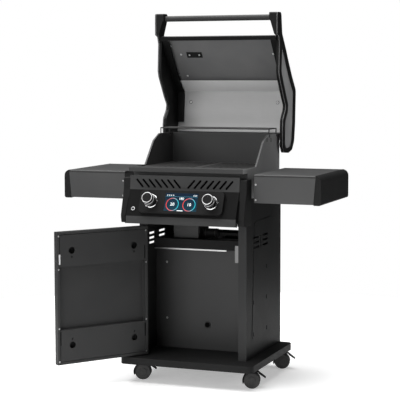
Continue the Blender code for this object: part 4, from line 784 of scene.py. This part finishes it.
def dress_cart():
    """Fittings on the divider, the deck, the firebox's sides and the shelves."""
    add_screws("divider_screw",
               [(x, DIVIDER_SCREW_Y, z) for x in (-DIVIDER_SCREW_X, DIVIDER_SCREW_X)
                for z in (0.4922, 0.2418)], (0, -1, 0), 0.0048, "cart")
    across, up = HOSE_HOLE
    add_ring("hose_grommet", (across, 0.0876, up), (0, -1, 0), 0.0132, 0.0024, RUBBER,
             "plastic", "cart")
    # a dark disc of painted shade fills the hose hole
    add_disc("hose_hole_shade_disc", (across, 0.0890, up), (0, -1, 0), 0.0126, 0.0014, HOLE_SHADE,
             "plastic", "cart")
    add_plate("deck_rail", (-0.069, 0.0642, 0.556), (0, -1, 0), (0.338, 0.006, 0.0020),
              STEEL_PLAIN, "stainless", "cart", 0.0005)
    add_disc("regulator_barrel", BARREL_START, (1, 0, 0), 0.0200, 0.068, PLASTIC, "plastic",
             "cart", 0.0030)
    first, second = BAND_PLACES
    band = add_ring("regulator_band_1", (first, *BARREL_START[1:]), (1, 0, 0), 0.0198, 0.0012,
                    RUBBER, "plastic", "cart")
    copy_to(band, "regulator_band_2", (second - first, 0, 0))
    for side, way in SIDES:
        # the keyholes and the side slot are thin dark plates of painted shade
        for row, y, z in KEYHOLES:
            add_plate("firebox_keyhole_%s_%s" % (row, side), (way * FIREBOX_SIDE_X, y, z),
                      (way, 0, 0), KEYHOLE_SIZE, PLASTIC, "plastic", "cart", 0.0001)
        add_plate("firebox_side_slot_" + side, (way * PANEL_SIDE_X, 0.3161, 0.7327),
                  (way, 0, 0), (0.030, 0.010, 0.0004), PLASTIC, "plastic", "cart", 0.0001)
        add_screws("shelf_screw_" + side,
                   [(way * SHELF_SCREW_X, SHELF_SCREW_Y, z) for z in (0.866, 0.802)],
                   (0, -1, 0), 0.0036, "shelf_" + side)


# ------------------------------------------------------------------- the door
DOOR_FACE = (0.814, -0.581, 0)
DOOR_EDGES = ((-0.4476, -0.4590), (-0.2033, -0.1160))      # the free one first
DOOR_RIVET_HEIGHTS = (0.6553, 0.5169, 0.2690, 0.1300)
DOOR_SLOTS = (Vector((-0.4436, -0.4534, 0.227)), Vector((-0.2066, -0.1207, 0.562)),
              Vector((-0.2066, -0.1207, 0.225)))


def dress_door():
    """Rivets, a strike plate and dark plates of painted shade for the slots on the door's inner
    face.
    """
    add_screws("door_rivet", [(x, y, z) for x, y in DOOR_EDGES for z in DOOR_RIVET_HEIGHTS],
               DOOR_FACE, 0.0036, "door")
    add_plate("door_strike_plate", (-0.4450, -0.4553, 0.559), DOOR_FACE,
              (0.0065, 0.042, 0.0012), SATIN_RING, "stainless", "door")
    # each slot is a dark plate of painted shade
    slot = add_plate("door_slot_1", DOOR_SLOTS[0], DOOR_FACE, (0.0042, 0.057, 0.0004), HOLE_SHADE,
                     "plastic", "door", 0.0001)
    for number, at in enumerate(DOOR_SLOTS[1:], 2):
        copy_to(slot, "door_slot_%d" % number, at - DOOR_SLOTS[0])


# --------------------------------------------------------------------- setting
ROOM_LIGHT = 0.05
FLOOR_RADIUS = 2.4
FLOOR_DROP = 0.0005
LIGHTS = (                     # place, what it is aimed at, width and watts
    ("overhead_soft", (-0.6, -0.2, 4.4), (0, 0, 0), 5.0, 360),
    ("key_left", (-3.2, -4.6, 2.4), (0, 0, 0.7), 3.6, 85),
    ("front_low", (-0.4, -5.0, 0.7), (0, 0.3, 1.2), 2.6, 60),
    ("right_high", (4.2, 0.4, 2.3), (0.26, 0.2, 1.2), 1.4, 28),
)


def add_floor():
    """A pale round floor under the grill."""
    floor = add_outline("studio_floor", bpy.ops.mesh.primitive_circle_add, vertices=96,
                        radius=FLOOR_RADIUS, fill_type="NGON", location=(0, 0, -FLOOR_DROP))
    floor.data.materials.append(floor_paint("studio_floor"))


def add_light(name, at, aim, size, power):
    data = bpy.data.lights.new(name, "AREA")
    data.shape = "DISK"
    data.size = size
    data.energy = power
    lamp = bpy.data.objects.new(name, data)
    SCENE.collection.objects.link(lamp)
    way = Vector(at) - Vector(aim)
    turn = way.to_track_quat("Z", "Y").to_matrix().to_4x4()
    lamp.matrix_world = Matrix.Translation(at) @ turn


def add_room():
    """A room that looks white and lights the grill only a little."""
    world = bpy.data.worlds.new("studio")
    SCENE.world = world
    world.use_nodes = True
    tree = world.node_tree
    shade = tree.nodes["Background"]
    shade.inputs["Color"].default_value = (1.0, 1.0, 1.0, 1)
    seen = tree.nodes.new("ShaderNodeLightPath")
    strength = tree.nodes.new("ShaderNodeMapRange")
    strength.inputs["To Min"].default_value = ROOM_LIGHT
    strength.inputs["To Max"].default_value = 1.0
    tree.links.new(seen.outputs["Is Camera Ray"], strength.inputs["Value"])
    tree.links.new(strength.outputs["Result"], shade.inputs["Strength"])


def add_studio():
    """White sweep, a soft box overhead, a key light from the left and two weak lights."""
    SCENE.view_settings.view_transform = "Standard"
    add_room()
    for light in LIGHTS:
        add_light(*light)
    add_floor()


add_camera()
refine_all()
dress_knobs()
dress_button()
dress_screen()
dress_panel()
dress_lid()
dress_cart()
dress_door()
add_studio()
